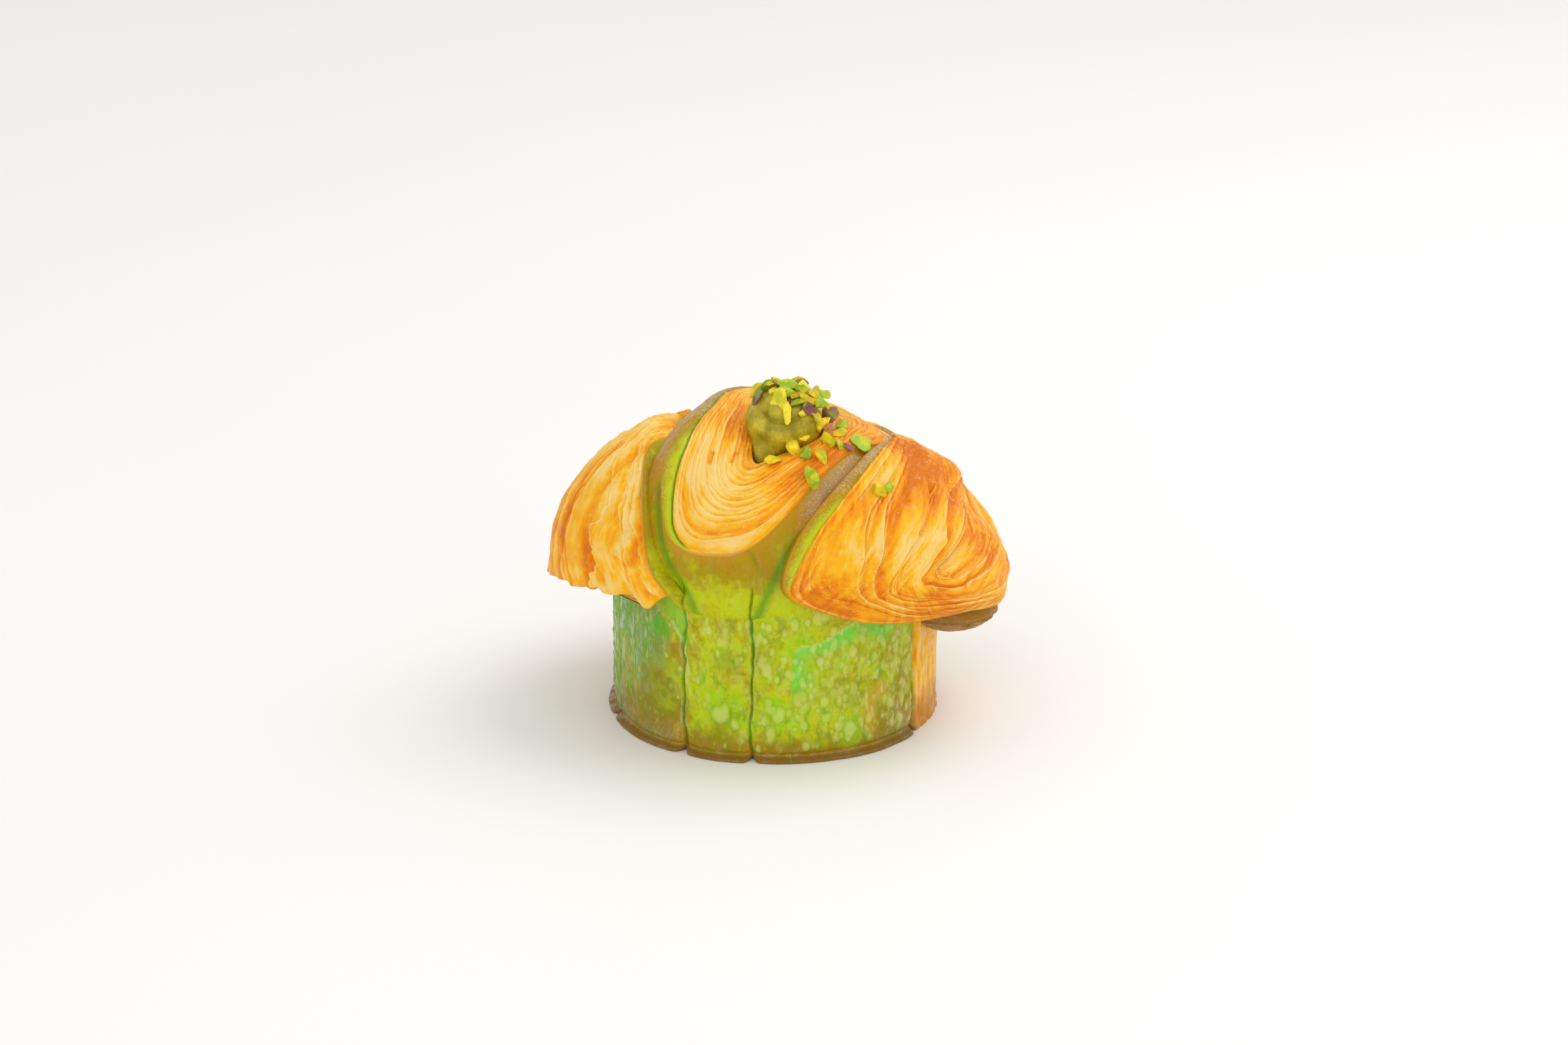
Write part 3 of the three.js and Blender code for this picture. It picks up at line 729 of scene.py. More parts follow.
def leaf_relief(run, edges, index, phase, width, strand, leaves):
    """Relief in millimetres, sideways shift in millimetres and masks of the layered cut face. Each
    leaf is a low pillow that leans to one side; its raised edge is a thin crest that hangs over
    the leaf before it, and a gap opens under some stretches of the crest. Past the last leaf comes
    the smooth strip along the rim."""
    seed, closed = leaves["seed"], strand["closed"]
    count = edges.shape[1] - 1
    leaf_width = (edges[:, index + 1] - edges[:, index]) * width[:, None]
    distance = phase * leaf_width

    def along(cells, number):
        """Random tracks along the run, one for each leaf, given to the rows on it."""
        return wander(run, cells, count, seed + number, closed)[:, index]

    full_width = 1.4
    size = np.clip(leaf_width / full_width, 0.05, 1.6)
    thin = np.clip(size, 0, 1)
    lifted = ease(along(17, 3), -0.8, 0.5)
    crest = hump(distance, 0.24 * thin, 0.2 * thin)
    gap = hump(distance, 0, 0.13 * thin) * ease(along(11, 4), -0.4, 0.6)
    pillow = 4 * phase * (1 - phase)
    lean = (1 - phase) ** 1.3 * (0.75 + 0.4 * along(7, 5))
    body = ease(distance, 0, 0.16 * thin)
    slope = leaves["terrace"] * (0.6 * pillow + 0.9 * lean) * body
    relief = size * (0.5 * leaves["crest"] * crest * lifted + slope)
    relief -= thin * leaves["gap"] * gap
    shift = -leaves["hang"] * thin * crest * lifted
    # A leaf's tone is partly random and partly painted shade: it is darkest low on the leaf, under the
    # next crest.
    tone_and_shade = 0.7 * along(5, 7) + 0.5 * along(17, 8) + 1.1 * hump(phase, 0.8, 0.2) * thin
    sheets = 1 - ease(np.minimum(distance, leaf_width - distance), 0, 0.8)

    strip = np.broadcast_to((index == count - 1).astype(float), relief.shape)
    wide = (leaf_width * strip).max(1)[:, None]
    shown = ease(wide, 0.5, 1.4)
    ridge = 0.45 * np.minimum(wide / 3, 1) * pillow**0.5
    relief = relief * (1 - strip) + strip * ridge
    before = (edges[:, -2:-1] - edges[:, index]) * width[:, None] - distance
    groove_reach = np.where(strip > 0, distance, before)
    groove = leaves["groove"] * hump(groove_reach, 0, 0.35) * shown
    relief -= 0.5 * groove
    bare = 1 - strip
    masks = {
        "crest": crest * lifted * bare, "gap": gap * thin * bare, "strip": strip * shown,
        "groove": groove, "sheets": sheets * bare,
    }
    return relief, shift * bare, masks, tone_and_shade


def fine_sheets(run, across, width, seed):
    """Fine corrugation along the leaves, from -1 to 1: two lattice noises of narrow, long cells. The
    run counts whole periods of the lattice, so a closed strand's ends meet."""
    along = np.broadcast_to(run[:, None] * LATTICE, across.shape)
    sideways = across * width[:, None]
    fine = lattice_noise(np.stack([along, sideways / 0.36], -1), 1, seed + 40)
    broad = lattice_noise(np.stack([along, sideways / 1.0], -1), 1, seed + 41)
    return 0.65 * fine + 0.45 * broad


def flow_fields(run, across, rim_length, width, closed):
    """Coordinates in metres along and across the leaves. Along a closed strand they go round a
    circle as long as the strand's rim, so that they meet."""
    if closed:
        radius = rim_length / (2 * math.pi)
        turn = 2 * math.pi * run[:, None]
        first, second = radius * np.cos(turn), radius * np.sin(turn)
    else:
        first, second = run[:, None] * rim_length, np.zeros((len(run), 1))
    return {"flow_x": first * MM, "flow_y": second * MM, "flow_z": across * width * MM}


def hem_raggedness(across):
    """How far a torn hem hangs down at each share of the face, from about -1 to 2: broad and narrow
    lobes from smooth noise, and one torn scrap near the rim."""
    track = np.stack([across * 26, 0 * across], -1)
    lobes = 0.9 * lattice_noise(track, 3.5, 81) + 0.5 * lattice_noise(track, 1.1, 82)
    return lobes + 1.8 * hump(across, 0.9, 0.05)


def cut_face(name, run, rim, inner, rim_height, inner_height):
    """Points, fields, shares across and widths of the cut face. It bulges over the dome by swell *
    (4 share (1 - share)) ** 0.7, minus its dents and creases, plus its leaves, sheets and lumps, and
    the rags of a torn end hang down."""
    strand, leaves = STRANDS[name], LEAVES[name]
    width = np.linalg.norm(on_dome(rim, rim_height) - on_dome(inner, inner_height), axis=-1)
    edges = leaf_edges(run, strand, leaves)
    index, phase = leaf_rows(edges, leaves["rows"])
    across = edges[:, index] + phase * (edges[:, index + 1] - edges[:, index])
    face, height = face_lines(strand, rim, inner, rim_height, inner_height, across)
    swell = strand["swell"] * (np.sin(math.pi * run) ** strand["taper"])[:, None]
    height = height + swell * (4 * across * (1 - across)) ** 0.7 - glow(face, strand.get("dents", []))
    points = on_dome(face, height)
    hang = strand.get("hem", 0) * ease(run, 0.86, 1)[:, None]
    points[..., 2] -= hang * hem_raggedness(across)

    relief, shift, masks, tone_and_shade = leaf_relief(run, edges, index, phase, width, strand, leaves)
    # Creases sink the face and darken it: partly baking, partly painted shade.
    depth, crease_shade_and_bake = creased(face, leaves["creases"])
    sheets = fine_sheets(run, across, width, leaves["seed"]) * (1 - masks["strip"])
    relief = relief + SHEET_RISE * leaves["wild"] * sheets
    calm = ease(across, 0, 0.02) * ease(1 - across, 0, 0.02)
    relief = (relief - depth * (1 - masks["strip"])) * calm
    relief = relief + leaves["lumps"] * cloud(points, 8, leaves["seed"] + 20)
    rim_line = hump((1 - across) * width[:, None], 0.2, 0.3)
    relief += RIM_RISE * rim_line
    sideways = unit(np.gradient(points, axis=1) + 1e-9)
    points = points + relief[..., None] * dome_normals(face) + (shift * calm)[..., None] * sideways

    bake = leaves["bake"] + glow(face, leaves["spots"]) + TONE_AND_SHADE_BAKE * tone_and_shade + crease_shade_and_bake
    base, spots = leaves["strip_browning"]
    fields = {
        # Paler where the fine sheets rise and darker where they sink: partly baking, partly painted
        # light and shade.
        "bake": bake - SHEET_LIGHT_AND_BAKE * leaves["wild"] * sheets,
        "crest": masks["crest"] * calm,
        # The gaps, and the creases by their depth, get the gap's darker colour: partly painted shade.
        "gap": np.clip(masks["gap"] + np.clip(depth, 0, 1) * 0.5, 0, 1) * calm,
        "groove": masks["groove"],
        "rim_line": rim_line,
        "skin": masks["strip"],
        "browning": base + glow(face, spots) + 0.42 * (phase - 0.5),
        "inner_strip": masks["strip"],
        "sheets": masks["sheets"],
        "wild": leaves["wild"],
    }
    return points, fields, across, width


def strand_skin(name, run, rim, inner, rim_height):
    """Points, fields, shares down and foot of the skin outside the rim. It turns away from the inner
    line and falls evenly from the rim's height to the foot's, plus a slight bulge and dents, minus
    its creases. Low down, the closed strand's skin takes on the wall's browning."""
    strand, leaves = STRANDS[name], LEAVES[name]
    seed, rows = leaves["seed"], leaves["skin_rows"]
    down = np.broadcast_to(np.linspace(0, 1, rows + 1)[1:], (len(run), rows))
    outward = unit(rim - inner)
    outward = unit(outward - (outward * rim).sum(-1, keepdims=True) * rim)
    foot = unit(rim + math.tan(math.radians(strand["skin_turn"])) * outward)
    foot_height = np.minimum(strand["foot_height"], rim_height - 0.03)
    skin = unit((1 - down)[..., None] * rim[:, None] + down[..., None] * foot[:, None])
    height = (1 - down) * rim_height[:, None] + down * foot_height[:, None] + 0.08 * down * (1 - down)
    points = on_dome(skin, height)
    broad = BROAD_DENTS * cloud(points, 7, seed + 30)
    dent = (broad + SMALL_DENTS * cloud(points, 2, seed + 31)) * down
    seam = 0
    if strand["closed"]:
        points, seam = tucked_to_wall(points, down, run)
    deep, dark = creased(directions_from_centre(points), leaves.get("skin_creases", []))
    dent = dent - deep * (1 - 0.85 * ease(down, 0.15, 0.4))
    points = points + dent[..., None] * dome_normals(skin)
    base, spots = leaves["browning"]
    browning = base + glow(skin, spots)
    if strand["closed"]:
        wall_browning = 0.26
        browning += (wall_browning - browning) * ease(-points[..., 2], -48.5, -38.5)
    # Groove darkens the skin's creases as painted shade, and the wall's seams carried on into it as
    # dark joints.
    fields = {
        "bake": 0.6, "crest": 0, "gap": 0, "groove": np.maximum(dark, seam),
        "rim_line": hump(down * 6, 0, 0.5), "skin": 1, "browning": browning, "inner_strip": 0,
        "sheets": 0, "wild": 0.4,
    }
    return points, fields, down, foot


def strand_surface(name):
    """Points and fields of one strand. Across a ring come the cut face, the skin outside the rim,
    and the buried root, which runs straight in from the skin's foot and straight back out to the
    inner line."""
    strand, stations = STRANDS[name], LEAVES[name]["stations"]
    closed = strand["closed"]
    run = np.arange(stations) / stations if closed else np.linspace(0, 1, stations)
    rim, rim_height = smooth_line(strand["rim"], stations, closed)
    inner, inner_height = inner_line(strand, stations)
    face, face_fields, across, width = cut_face(name, run, rim, inner, rim_height, inner_height)
    skin, skin_fields, down, foot = strand_skin(name, run, rim, inner, rim_height)

    share = np.linspace(0, 1, 7)[1:-1, None]
    root_way = inner if "slit" in strand else inner + foot
    root = on_dome(root_way, np.full(stations, bpy.context.scene.crown_sizes.root))[:, None]
    low, first = skin[:, -1:], face[:, :1]
    buried = np.concatenate([low + (root - low) * share, root, root + (first - root) * share], 1)
    parts = (face, skin, buried)
    buried_fields = {"bake": 0.75, "browning": 0.3, "wild": 0.4}

    def whole(*values):
        """One field across the face, the skin and the root."""
        return np.hstack([np.broadcast_to(v, part.shape[:2]) for v, part in zip(values, parts)])

    fields = {
        key: whole(value, skin_fields[key], buried_fields.get(key, 0))
        for key, value in face_fields.items()
    }
    edge = across[:, -1:]
    flow_across = whole(across, edge + 0.2 * down, edge + 0.15)
    rim_length = np.linalg.norm(np.diff(on_dome(rim, rim_height), axis=0), axis=-1).sum()
    fields.update(flow_fields(run, flow_across, rim_length, width.mean(), closed))
    return np.concatenate(parts, 1), fields


def tucked_to_wall(points, down, run):
    """Where the middle ring comes lowest, its skin runs on down the wall without a step: the radius
    eases from the rim's to just over the wall's, the height falls evenly from the rim's to the
    foot's, and the last bit dives into the wall. The wall's seams go on into it. Gives the points
    and the seams' strength. Lengths are in millimetres."""
    foot, over_wall, dive = 33, 0.8, 1.9
    sizes = bpy.context.scene.wall_sizes
    near = (ease(run, 0.27, 0.34) * ease(-run, -0.6, -0.56))[:, None]
    azimuth = np.arctan2(points[..., 1], points[..., 0])
    rim = points[:, :1]
    rim_radius = np.hypot(rim[..., 0], rim[..., 1])
    height = rim[..., 2] + (foot - rim[..., 2]) * down
    _, share = seam_places(np.degrees(azimuth))
    wall = sizes.radius / MM + panel_swell(share, sizes)
    bulge = 0.9 * np.sin(math.pi * np.clip(down * 1.7, 0, 1))
    reach = rim_radius - wall - over_wall
    radius = wall + over_wall + reach * ease(-down, -0.62, 0.05) + bulge
    radius -= dive * ease(down, 0.8, 1.0)
    nearest, _ = wavy_seams(np.degrees(azimuth), height, sizes)
    low = ease(-height, -45, -41)
    radius -= sizes.seam / MM * hump(nearest, 0, GROOVE_REACH) * low
    target = np.stack([radius * np.cos(azimuth), radius * np.sin(azimuth), height], -1)
    share = (near * ease(down, 0, 0.12))[..., None]
    return points * (1 - share) + target * share, hump(nearest, 0, DARK_REACH) * low * near


# ---------------------------------------------------------------- wall

# Azimuths of the seams. The cut panel, whose layers show, lies between two of them.
SEAMS = (-123, -98, -30, 19, 63, 107, 152, 195)
CUT_PANEL = (-30, 19)

# Edge of the mint skin: azimuths and the heights there. Edge of the flap: heights and azimuths.
MINT_EDGE = ((-84.5, -83, -71.5, -60, -46.6, -38, -31), (18, 27.7, 30.3, 33.2, 31, 38, 44))
FLAP_EDGE = ((0, 20, 26.5, 32, 34), (-123.5, -121.5, -123, -128, -136))

# Height on the crown's dome of the core under the strands.
CORE_HEIGHT = 0.79

# Reach in degrees of a seam's groove and of the dark line in it.
GROOVE_REACH = 0.42
DARK_REACH = 0.32

# Relief of the wall in millimetres.
FLARE = 0.4
WAIST = 0.4
SEAM_SHOULDER = 0.3
SEAM_RISE = 0.8
LUMPS = 0.35
SMALL_LUMPS = 0.12
WRINKLES = 0.4
WORN_SKIN = 0.28
FLAP_THICKNESS = 0.35
CUT_RISE = 0.3
CUT_FIBRES = 0.25
BLISTER_RISE = 0.3

# Bands of blisters: first and last azimuth, number, largest radius, and height over width.
BLISTER_BANDS = (
    (-97, -31, 330, 1.5, 1.4), (-72, -31, 190, 1.1, 2.2), (-123, -98, 44, 1.3, 1.6),
    (-180, -124, 110, 0.8, 1.6), (19, 180, 560, 1.25, 1.3),
)

# Kinds of patches: the seed and the softness of their outlines, then for each patch the azimuth and
# height of its middle, its reach in degrees and in millimetres, and its amount.
WALL_PATCHES = {
    "torn": (67, 0.4, [(-150, 30, 19, 13, 1), (-172, 20, 12, 18, 0.9)]),
    "bubbles": (70, 0.6, [
        (-108.6, 11, 3, 2, 1), (-63, 6.5, 1.8, 2.2, 1), (-89, 11, 1.6, 1.3, 0.9),
        (-69, 27.5, 1.6, 1.2, 0.8), (-107, 30, 1.7, 3.4, 0.8), (-81, 16, 2.4, 2.2, 0.7),
    ]),
    "lime": (71, 0.6, [
        (-107, 12, 6, 6, 0.8), (-63, 6, 5, 3.4, 1), (-90, 11, 5, 5, 0.8), (-94, 39, 7, 7, 0.25),
        (-76, 20, 6, 7, 0.4), (60, 20, 14, 9, 0.7), (120, 30, 16, 8, 0.7), (170, 12, 9, 8, 0.6),
    ]),
    "green": (72, 0.4, [
        (-133, 30, 4.5, 2.6, 1), (-160, 31, 9, 8, 0.6), (-57, 35, 3, 3, 0.6), (-49, 33, 2, 3, 0.6),
        (-50, 19, 1.4, 2, 0.7), (90, 12, 5, 4, 0.6), (140, 36, 5, 4, 0.6),
    ]),
    "ovals": (73, 0.3, [
        (-166, 30, 2.6, 3.4, 1), (-158, 31, 2, 2.4, 0.9), (-163, 17, 2.2, 3.2, 0.9),
        (-152, 12, 2, 3, 0.8), (-148, 23, 1.6, 1.8, 0.7),
    ]),
    "brown": (74, 0.7, [
        (-42, 4, 12, 6, 0.7), (-155, 2, 32, 5, 0.7), (-75, 0, 42, 3.4, 0.5),
        (-110, 1, 12, 4, 0.4), (-38, 16, 5, 7, 0.3), (60, 2, 40, 6, 0.7), (150, 2, 44, 6, 0.7),
    ]),
    "shade": (76, 0.8, [
        (-138, 14, 13, 15, 0.8), (-165, 6, 18, 8, 0.8), (-112, 3, 10, 4, 0.5), (-44, 4, 13, 6, 0.5),
        (-106, 24, 5, 2.6, 0.5), (-80, 3, 12, 3, 0.45), (-60, 15, 7, 3, 0.35), (-93, 27, 3.5, 6, 0.3),
        (60, 8, 24, 8, 0.6), (110, 5, 20, 7, 0.5), (150, 10, 16, 9, 0.6),
    ]),
    "toasted": (77, 0.3, [(-54, 10, 2.8, 5.5, 1), (-51, 14, 4, 2.2, 0.9), (100, 18, 3, 5, 0.9)]),
}


def seam_places(azimuth):
    """Degrees to the nearest seam, and the share of the way from one seam to the next."""
    offset = degrees_from(azimuth[..., None], np.array(SEAMS, float))
    after = np.where(offset >= 0, offset, offset + 360).min(-1)
    before = np.where(offset < 0, -offset, 360 - offset).min(-1)
    return np.minimum(after, before), after / (after + before)


def wall_places(azimuth, heights, sizes):
    """Points on the wall's plain cylinder, in millimetres."""
    turn, radius = np.radians(azimuth), sizes.radius / MM
    return np.stack([radius * np.cos(turn), radius * np.sin(turn), heights], -1)


def wavy_seams(azimuth, heights, sizes):
    """Degrees to the nearest seam, and the share of the way to the next, where the seams wander and
    lean a little."""
    lean = 1.5 * (0.5 - heights * MM / sizes.height)
    wave = 2.2 * cloud(wall_places(azimuth, heights, sizes), 9, 61, 4)
    return seam_places(azimuth + wave + lean)


def panel_swell(share, sizes):
    """Bulge of the wall's panels in millimetres: swell times the square root of 4 share (1 - share)."""
    return sizes.swell / MM * (4 * share * (1 - share)) ** 0.5


def wall_patch(kind, places, azimuth, heights):
    """Strength of one kind of patches on the wall, the largest of all, with noise in the outlines."""
    seed, soft, spots = WALL_PATCHES[kind]
    wobble = 0.5 * cloud(places, 3.5, seed)
    total = np.zeros(heights.shape)
    for middle, height, wide, tall, amount in spots:
        away = degrees_from(azimuth, middle)
        distance = np.hypot(away / wide, (heights - height) / tall) + wobble
        total = np.maximum(total, amount * ease(-distance, -1 - soft, -1 + soft))
    return total


def blisters(azimuth, heights, places, sizes):
    """Round and oval blisters: for each, its amount times the smooth step of the distance over its
    radius, the highest of all."""
    random = np.random.default_rng(77)
    total = np.zeros(heights.shape)
    turn, level = azimuth[0], heights[:, 0]
    around = sizes.radius / MM * math.pi / 180
    wobble = 0.45 * cloud(places, 1.6, 78, 2)
    for first, last, count, largest, tall in BLISTER_BANDS:
        middles = random.uniform(first, last, count)
        levels = random.uniform(3, sizes.height / MM, count)
        radii = largest * random.uniform(0.35, 1, count) ** 1.3
        amounts = random.uniform(0.35, 1, count)
        for middle, lift, radius, amount in zip(middles, levels, radii, amounts):
            away = degrees_from(turn, middle) * around
            columns = np.abs(away) < radius * 1.5
            rows = np.abs(level - lift) < radius * tall * 1.5
            box = np.ix_(rows, columns)
            rise = (level[rows][:, None] - lift) / tall
            distance = np.hypot(away[columns][None, :], rise) / radius
            soft = ease(-distance - wobble[box], -1.3, -0.1)
            total[box] = np.maximum(total[box], amount * soft)
    return total


def mint_skin(azimuth, heights, places):
    """Strength of the mint skin under its edge at the front, strength of the torn edge itself, and
    the zone in which the outer skin is gone."""
    edge = np.interp(azimuth, *MINT_EDGE) + 2.4 * cloud(places, 5, 63, 4)
    inside = ease(azimuth + 0.6 * cloud(places, 4, 64), -84.2, -83.4) * (azimuth < CUT_PANEL[0] + 1)
    under = (edge - heights) * inside
    zone = ease(under, 0, 0.5)
    left_side = ease(-(azimuth + 83), -9, 0) * zone
    mint = np.maximum(ease(-under, -7.5, -0.5) * zone, left_side * ease(heights, 14, 21))
    mint = mint * (1.2 + 0.8 * cloud(places, 4, 65))
    return mint, hump(under, 0.1, 0.22) * inside * ease(heights, 19, 23), zone


def left_flap(azimuth, heights, places):
    """The flap of skin at the left, the skin beside it that it leaves bare, and its torn edge."""
    edge = np.interp(heights, *FLAP_EDGE) + 0.8 * cloud(places, 3, 66)
    flap = ease(-(azimuth - edge), -0.4, 0.4) * ease(-heights, -36, -32) * (azimuth > -166)
    beside = ease(azimuth, -131, -127) * (azimuth < SEAMS[0] + 1.5)
    bare = beside * (1 - flap) * ease(heights, 18, 22)
    torn_edge = 0.8 * hump(azimuth - edge, 0.2, 0.5) * (heights > 17) * (heights < 34)
    return flap, bare, torn_edge


def core_rings(azimuth):
    """Rings of the core over the wall, at the core's height on the dome, and their elevations."""
    lowest, climb = 16, 73.5
    lifts = np.linspace(0, 1, 16)[1:-1]
    azimuth, elevation = np.meshgrid(azimuth, lowest + climb * lifts)
    core = towards(azimuth, elevation)
    return on_dome(core, np.full(core.shape[:-1], CORE_HEIGHT)), elevation


def wall_surface(sizes):
    """Points and fields of the wall: the radius, plus the swell of each panel, the lip, the flare,
    the flap, noise, wrinkles, fibres and blisters, minus the waist, the seams' grooves and the skin
    that is gone from the front. The rings crowd near the foot. Above the wall come the core's."""
    columns, rows = sizes.columns, sizes.rows
    radius, top = sizes.radius / MM, sizes.height / MM
    azimuth, heights = np.meshgrid(
        np.linspace(-180, 180, columns, endpoint=False), top * np.linspace(0, 1, rows) ** 1.3
    )
    turn = np.radians(azimuth)
    places = wall_places(azimuth, heights, sizes)
    flat = places * np.array([1, 1, 0])
    nearest, share = wavy_seams(azimuth, heights, sizes)
    first, last = CUT_PANEL
    cut = ease(azimuth, first - 1, first + 1) * ease(-azimuth, -last - 1, -last + 1)
    patches = {kind: wall_patch(kind, places, azimuth, heights) for kind in WALL_PATCHES}

    foot = 1 - 0.85 * cut
    lip = (sizes.lip / MM - radius) * ease(-heights, -1.2, -0.6) * ease(heights, -0.4, 0.25)
    lip = lip * foot * (1 - 0.9 * hump(nearest, 0, 1.3)) * (1 + 0.15 * cloud(flat, 6, 62))
    groove = hump(nearest, 0, GROOVE_REACH)
    flare = FLARE * ease(heights, 0.7 * top, top)
    waist = -WAIST * hump(heights, 1.6, 0.5) * foot
    relief = panel_swell(share, sizes) + lip + flare + waist
    relief = relief - sizes.seam / MM * groove - SEAM_SHOULDER * hump(nearest, 0, 1.8)
    relief += LUMPS * cloud(places, 12, 5) + SMALL_LUMPS * cloud(places, 3.5, 6)
    wrinkles = WRINKLES * cloud(places * np.array([1, 1, 0.4]), 3, 7)
    relief += wrinkles * (1 - cut) * ease(-heights, -36, -28) * ease(heights, 1.5, 4)

    mint, torn_edge, zone = mint_skin(azimuth, heights, places)
    relief -= WORN_SKIN * zone * ease(heights, 13, 21)
    flap, bare, flap_edge = left_flap(azimuth, heights, places)
    relief += FLAP_THICKNESS * flap * ease(azimuth, -150, -135)
    streak_places = np.stack([radius * turn, heights / 7], -1)
    fibre = cloud(streak_places, 0.9, 68)
    relief += cut * (CUT_FIBRES * fibre + CUT_FIBRES * cloud(streak_places, 2.5, 69) + CUT_RISE)
    bubbles = blisters(azimuth, heights, places, sizes) * (1 - cut)
    bubbles = np.maximum(bubbles, 0.8 * patches["bubbles"])
    relief += BLISTER_RISE * bubbles

    side = np.stack([np.cos(turn), np.sin(turn), 0 * turn], -1)
    points = places + relief[..., None] * side
    points[..., 2] += SEAM_RISE * hump(nearest, 0, 1.1) * hump(heights, 0, 2) * foot
    core, elevation = core_rings(azimuth[0])

    browning = 0.25 + 0.22 * ease(-heights, -14, 0) + 0.55 * patches["brown"]
    browning = browning + 0.1 * cloud(places, 9, 75)
    browning += 0.16 * (flap - bare) + 0.05 * ease(azimuth, -60, -35) * ease(-azimuth, 20, 31)
    browning = np.where(heights < 1.2, 0.74 + 0.12 * cut, browning)
    ovals = patches["ovals"]
    fields = {
        "browning": browning,
        "blister": bubbles,
        "seam": hump(nearest, 0, DARK_REACH) * ease(heights, 0, 2) * (1 - 0.6 * cut),
        "seam_lip": hump(nearest, 0.9, 0.3) * ease(heights, 2, 5) * (1 - cut),
        "lime": np.maximum(patches["lime"], bare),
        "shade": np.clip(patches["shade"], 0, 1),
        "toasted": patches["toasted"],
        "green": np.clip(np.maximum(patches["green"], ovals), 0, 1),
        "mint": np.clip(mint, 0, 1),
        "torn": np.clip(patches["torn"] * (1 - ovals), 0, 1),
        "torn_edge": np.clip(torn_edge + flap_edge, 0, 1),
        "cut": cut,
        "fibre": 0.5 + 0.5 * fibre,
        "lip": ease(-heights, -1.5, -0.9) * foot,
        "level": heights / top,
    }
    on_core = {
        "browning": 0.35 + 0.3 * ease(elevation, 18, 40),
        # The core, seen only in the gaps between the strands, takes a share of the seams' dark green
        # all over.
        "seam": 0.3,
        "green": 0.8 * ease(-elevation, -30, -17),
        "level": 1,
    }
    for key, value in fields.items():
        fields[key] = np.vstack([value, np.broadcast_to(on_core.get(key, 0), elevation.shape)])
    return np.concatenate([points, core]), fields


# ---------------------------------------------------------------- cream, flap and nuts

# Folds of the cream: a path of azimuths and elevations, reach in degrees, depth as a share of the
# groove's, and how dark it is painted as shade. The first is the swirl's groove, the second the lip
# under it.
CREAM_FOLDS = (
    ([(-122, 30), (-112, 22), (-94, 20), (-76, 22), (-58, 30), (-44, 38)], 4.5, 1, 0.7),
    ([(-136, 16), (-116, 2), (-90, -2), (-60, 4)], 15, -0.4, 0),
    ([(-126, 32), (-130, 46), (-116, 56), (-90, 56)], 5, 0.6, 0.7),
)

# Single places on the cream: azimuth, elevation and reach in degrees, and amount.
CREAM_PIT = (-126, 31, 5.5, 1)
CREAM_TAIL = (-133, -48, 19, 1)
CREAM_TAIL_FOLD = (-124, -16, 9, 1)
CREAM_BEHIND = (85, -28, 26, 1)

# Relief of the cream in millimetres.
PIT_DEPTH = 1.3
TAIL_FOLD_DEPTH = 0.2
RIDGES = 0.07
CREAM_LUMPS = 0.24
CREAM_GRAIN = 0.05


def ball_grid(rows, columns):
    """Azimuths and elevations, in degrees, of a ball's grid, from its bottom to its top."""
    elevation = np.linspace(-90, 90, rows + 2)[1:-1]
    azimuth = np.linspace(-180, 180, columns, endpoint=False)
    azimuth, elevation = np.meshgrid(azimuth, elevation)
    return azimuth, elevation, towards(azimuth, elevation)


def cream_surface(sizes):
    """Ball of cream: an ellipsoid minus its folds and its pit, plus the tail and the cream behind,
    each a bell curve round its own direction, broad noise, and faint upright ridges left by the
    nozzle."""
    azimuth, elevation, directions = ball_grid(170, 260)
    half = np.array([sizes.radius, sizes.radius, sizes.height]) / MM
    deep = sizes.groove / MM
    folds = [(path, reach, share * deep, dark) for path, reach, share, dark in CREAM_FOLDS]
    depth, fold = creased(directions, folds)
    pit, tail = glow(directions, [CREAM_PIT]), glow(directions, [CREAM_TAIL])
    comb = RIDGES * np.sin(np.radians(azimuth) * 50 + 2 * np.sin(np.radians(3 * elevation)))
    comb = comb * ease(-elevation, -12, 8) * ease(elevation, -70, -40) * hump(azimuth, -75, 35)
    places = directions * 9
    lift = CREAM_LUMPS * cloud(places, 8, 90, 2) + CREAM_GRAIN * cloud(places, 2, 91) + comb
    relief = lift - depth - PIT_DEPTH * pit + sizes.tail / MM * tail
    relief = relief + sizes.fill / MM * glow(directions, [CREAM_BEHIND])
    relief = relief - TAIL_FOLD_DEPTH * glow(directions, [CREAM_TAIL_FOLD])
    points = np.array(sizes.centre) / MM + directions * (half + relief[..., None])
    # Fold carries the painted shade of the folds and the pit.
    return points, {"fold": np.clip(fold + pit, 0, 1), "tail": tail}


def flap_surface(sizes):
    """Flap: an ellipsoid minus a fold round it, a narrower part under the fold and a small hollow,
    plus noise."""
    _, elevation, directions = ball_grid(110, 220)
    half = np.array(sizes.half) / MM
    fold = hump(elevation, -14, 5)
    under = ease(-elevation, 14, 30)
    hollow = glow(directions, [(-62, -30, 9, 1)])
    relief = 1 - 0.1 * fold - 0.07 * under - 0.22 * hollow
    points = np.array(sizes.centre) / MM + half * directions * relief[..., None]
    points += 0.3 * cloud(points, 4, 95)[..., None] * directions
    browning = 0.8 + 0.12 * under - 0.2 * hollow
    fields = {
        "bake": 0.6, "crest": 0, "gap": np.clip(0.5 * fold + hollow, 0, 1), "groove": 0, "rim_line": 0,
        "skin": 1, "browning": browning, "inner_strip": 0, "sheets": 0, "wild": 0,
        "flow_x": points[..., 0] * MM, "flow_y": points[..., 1] * MM, "flow_z": points[..., 2] * MM,
    }
    return points, fields


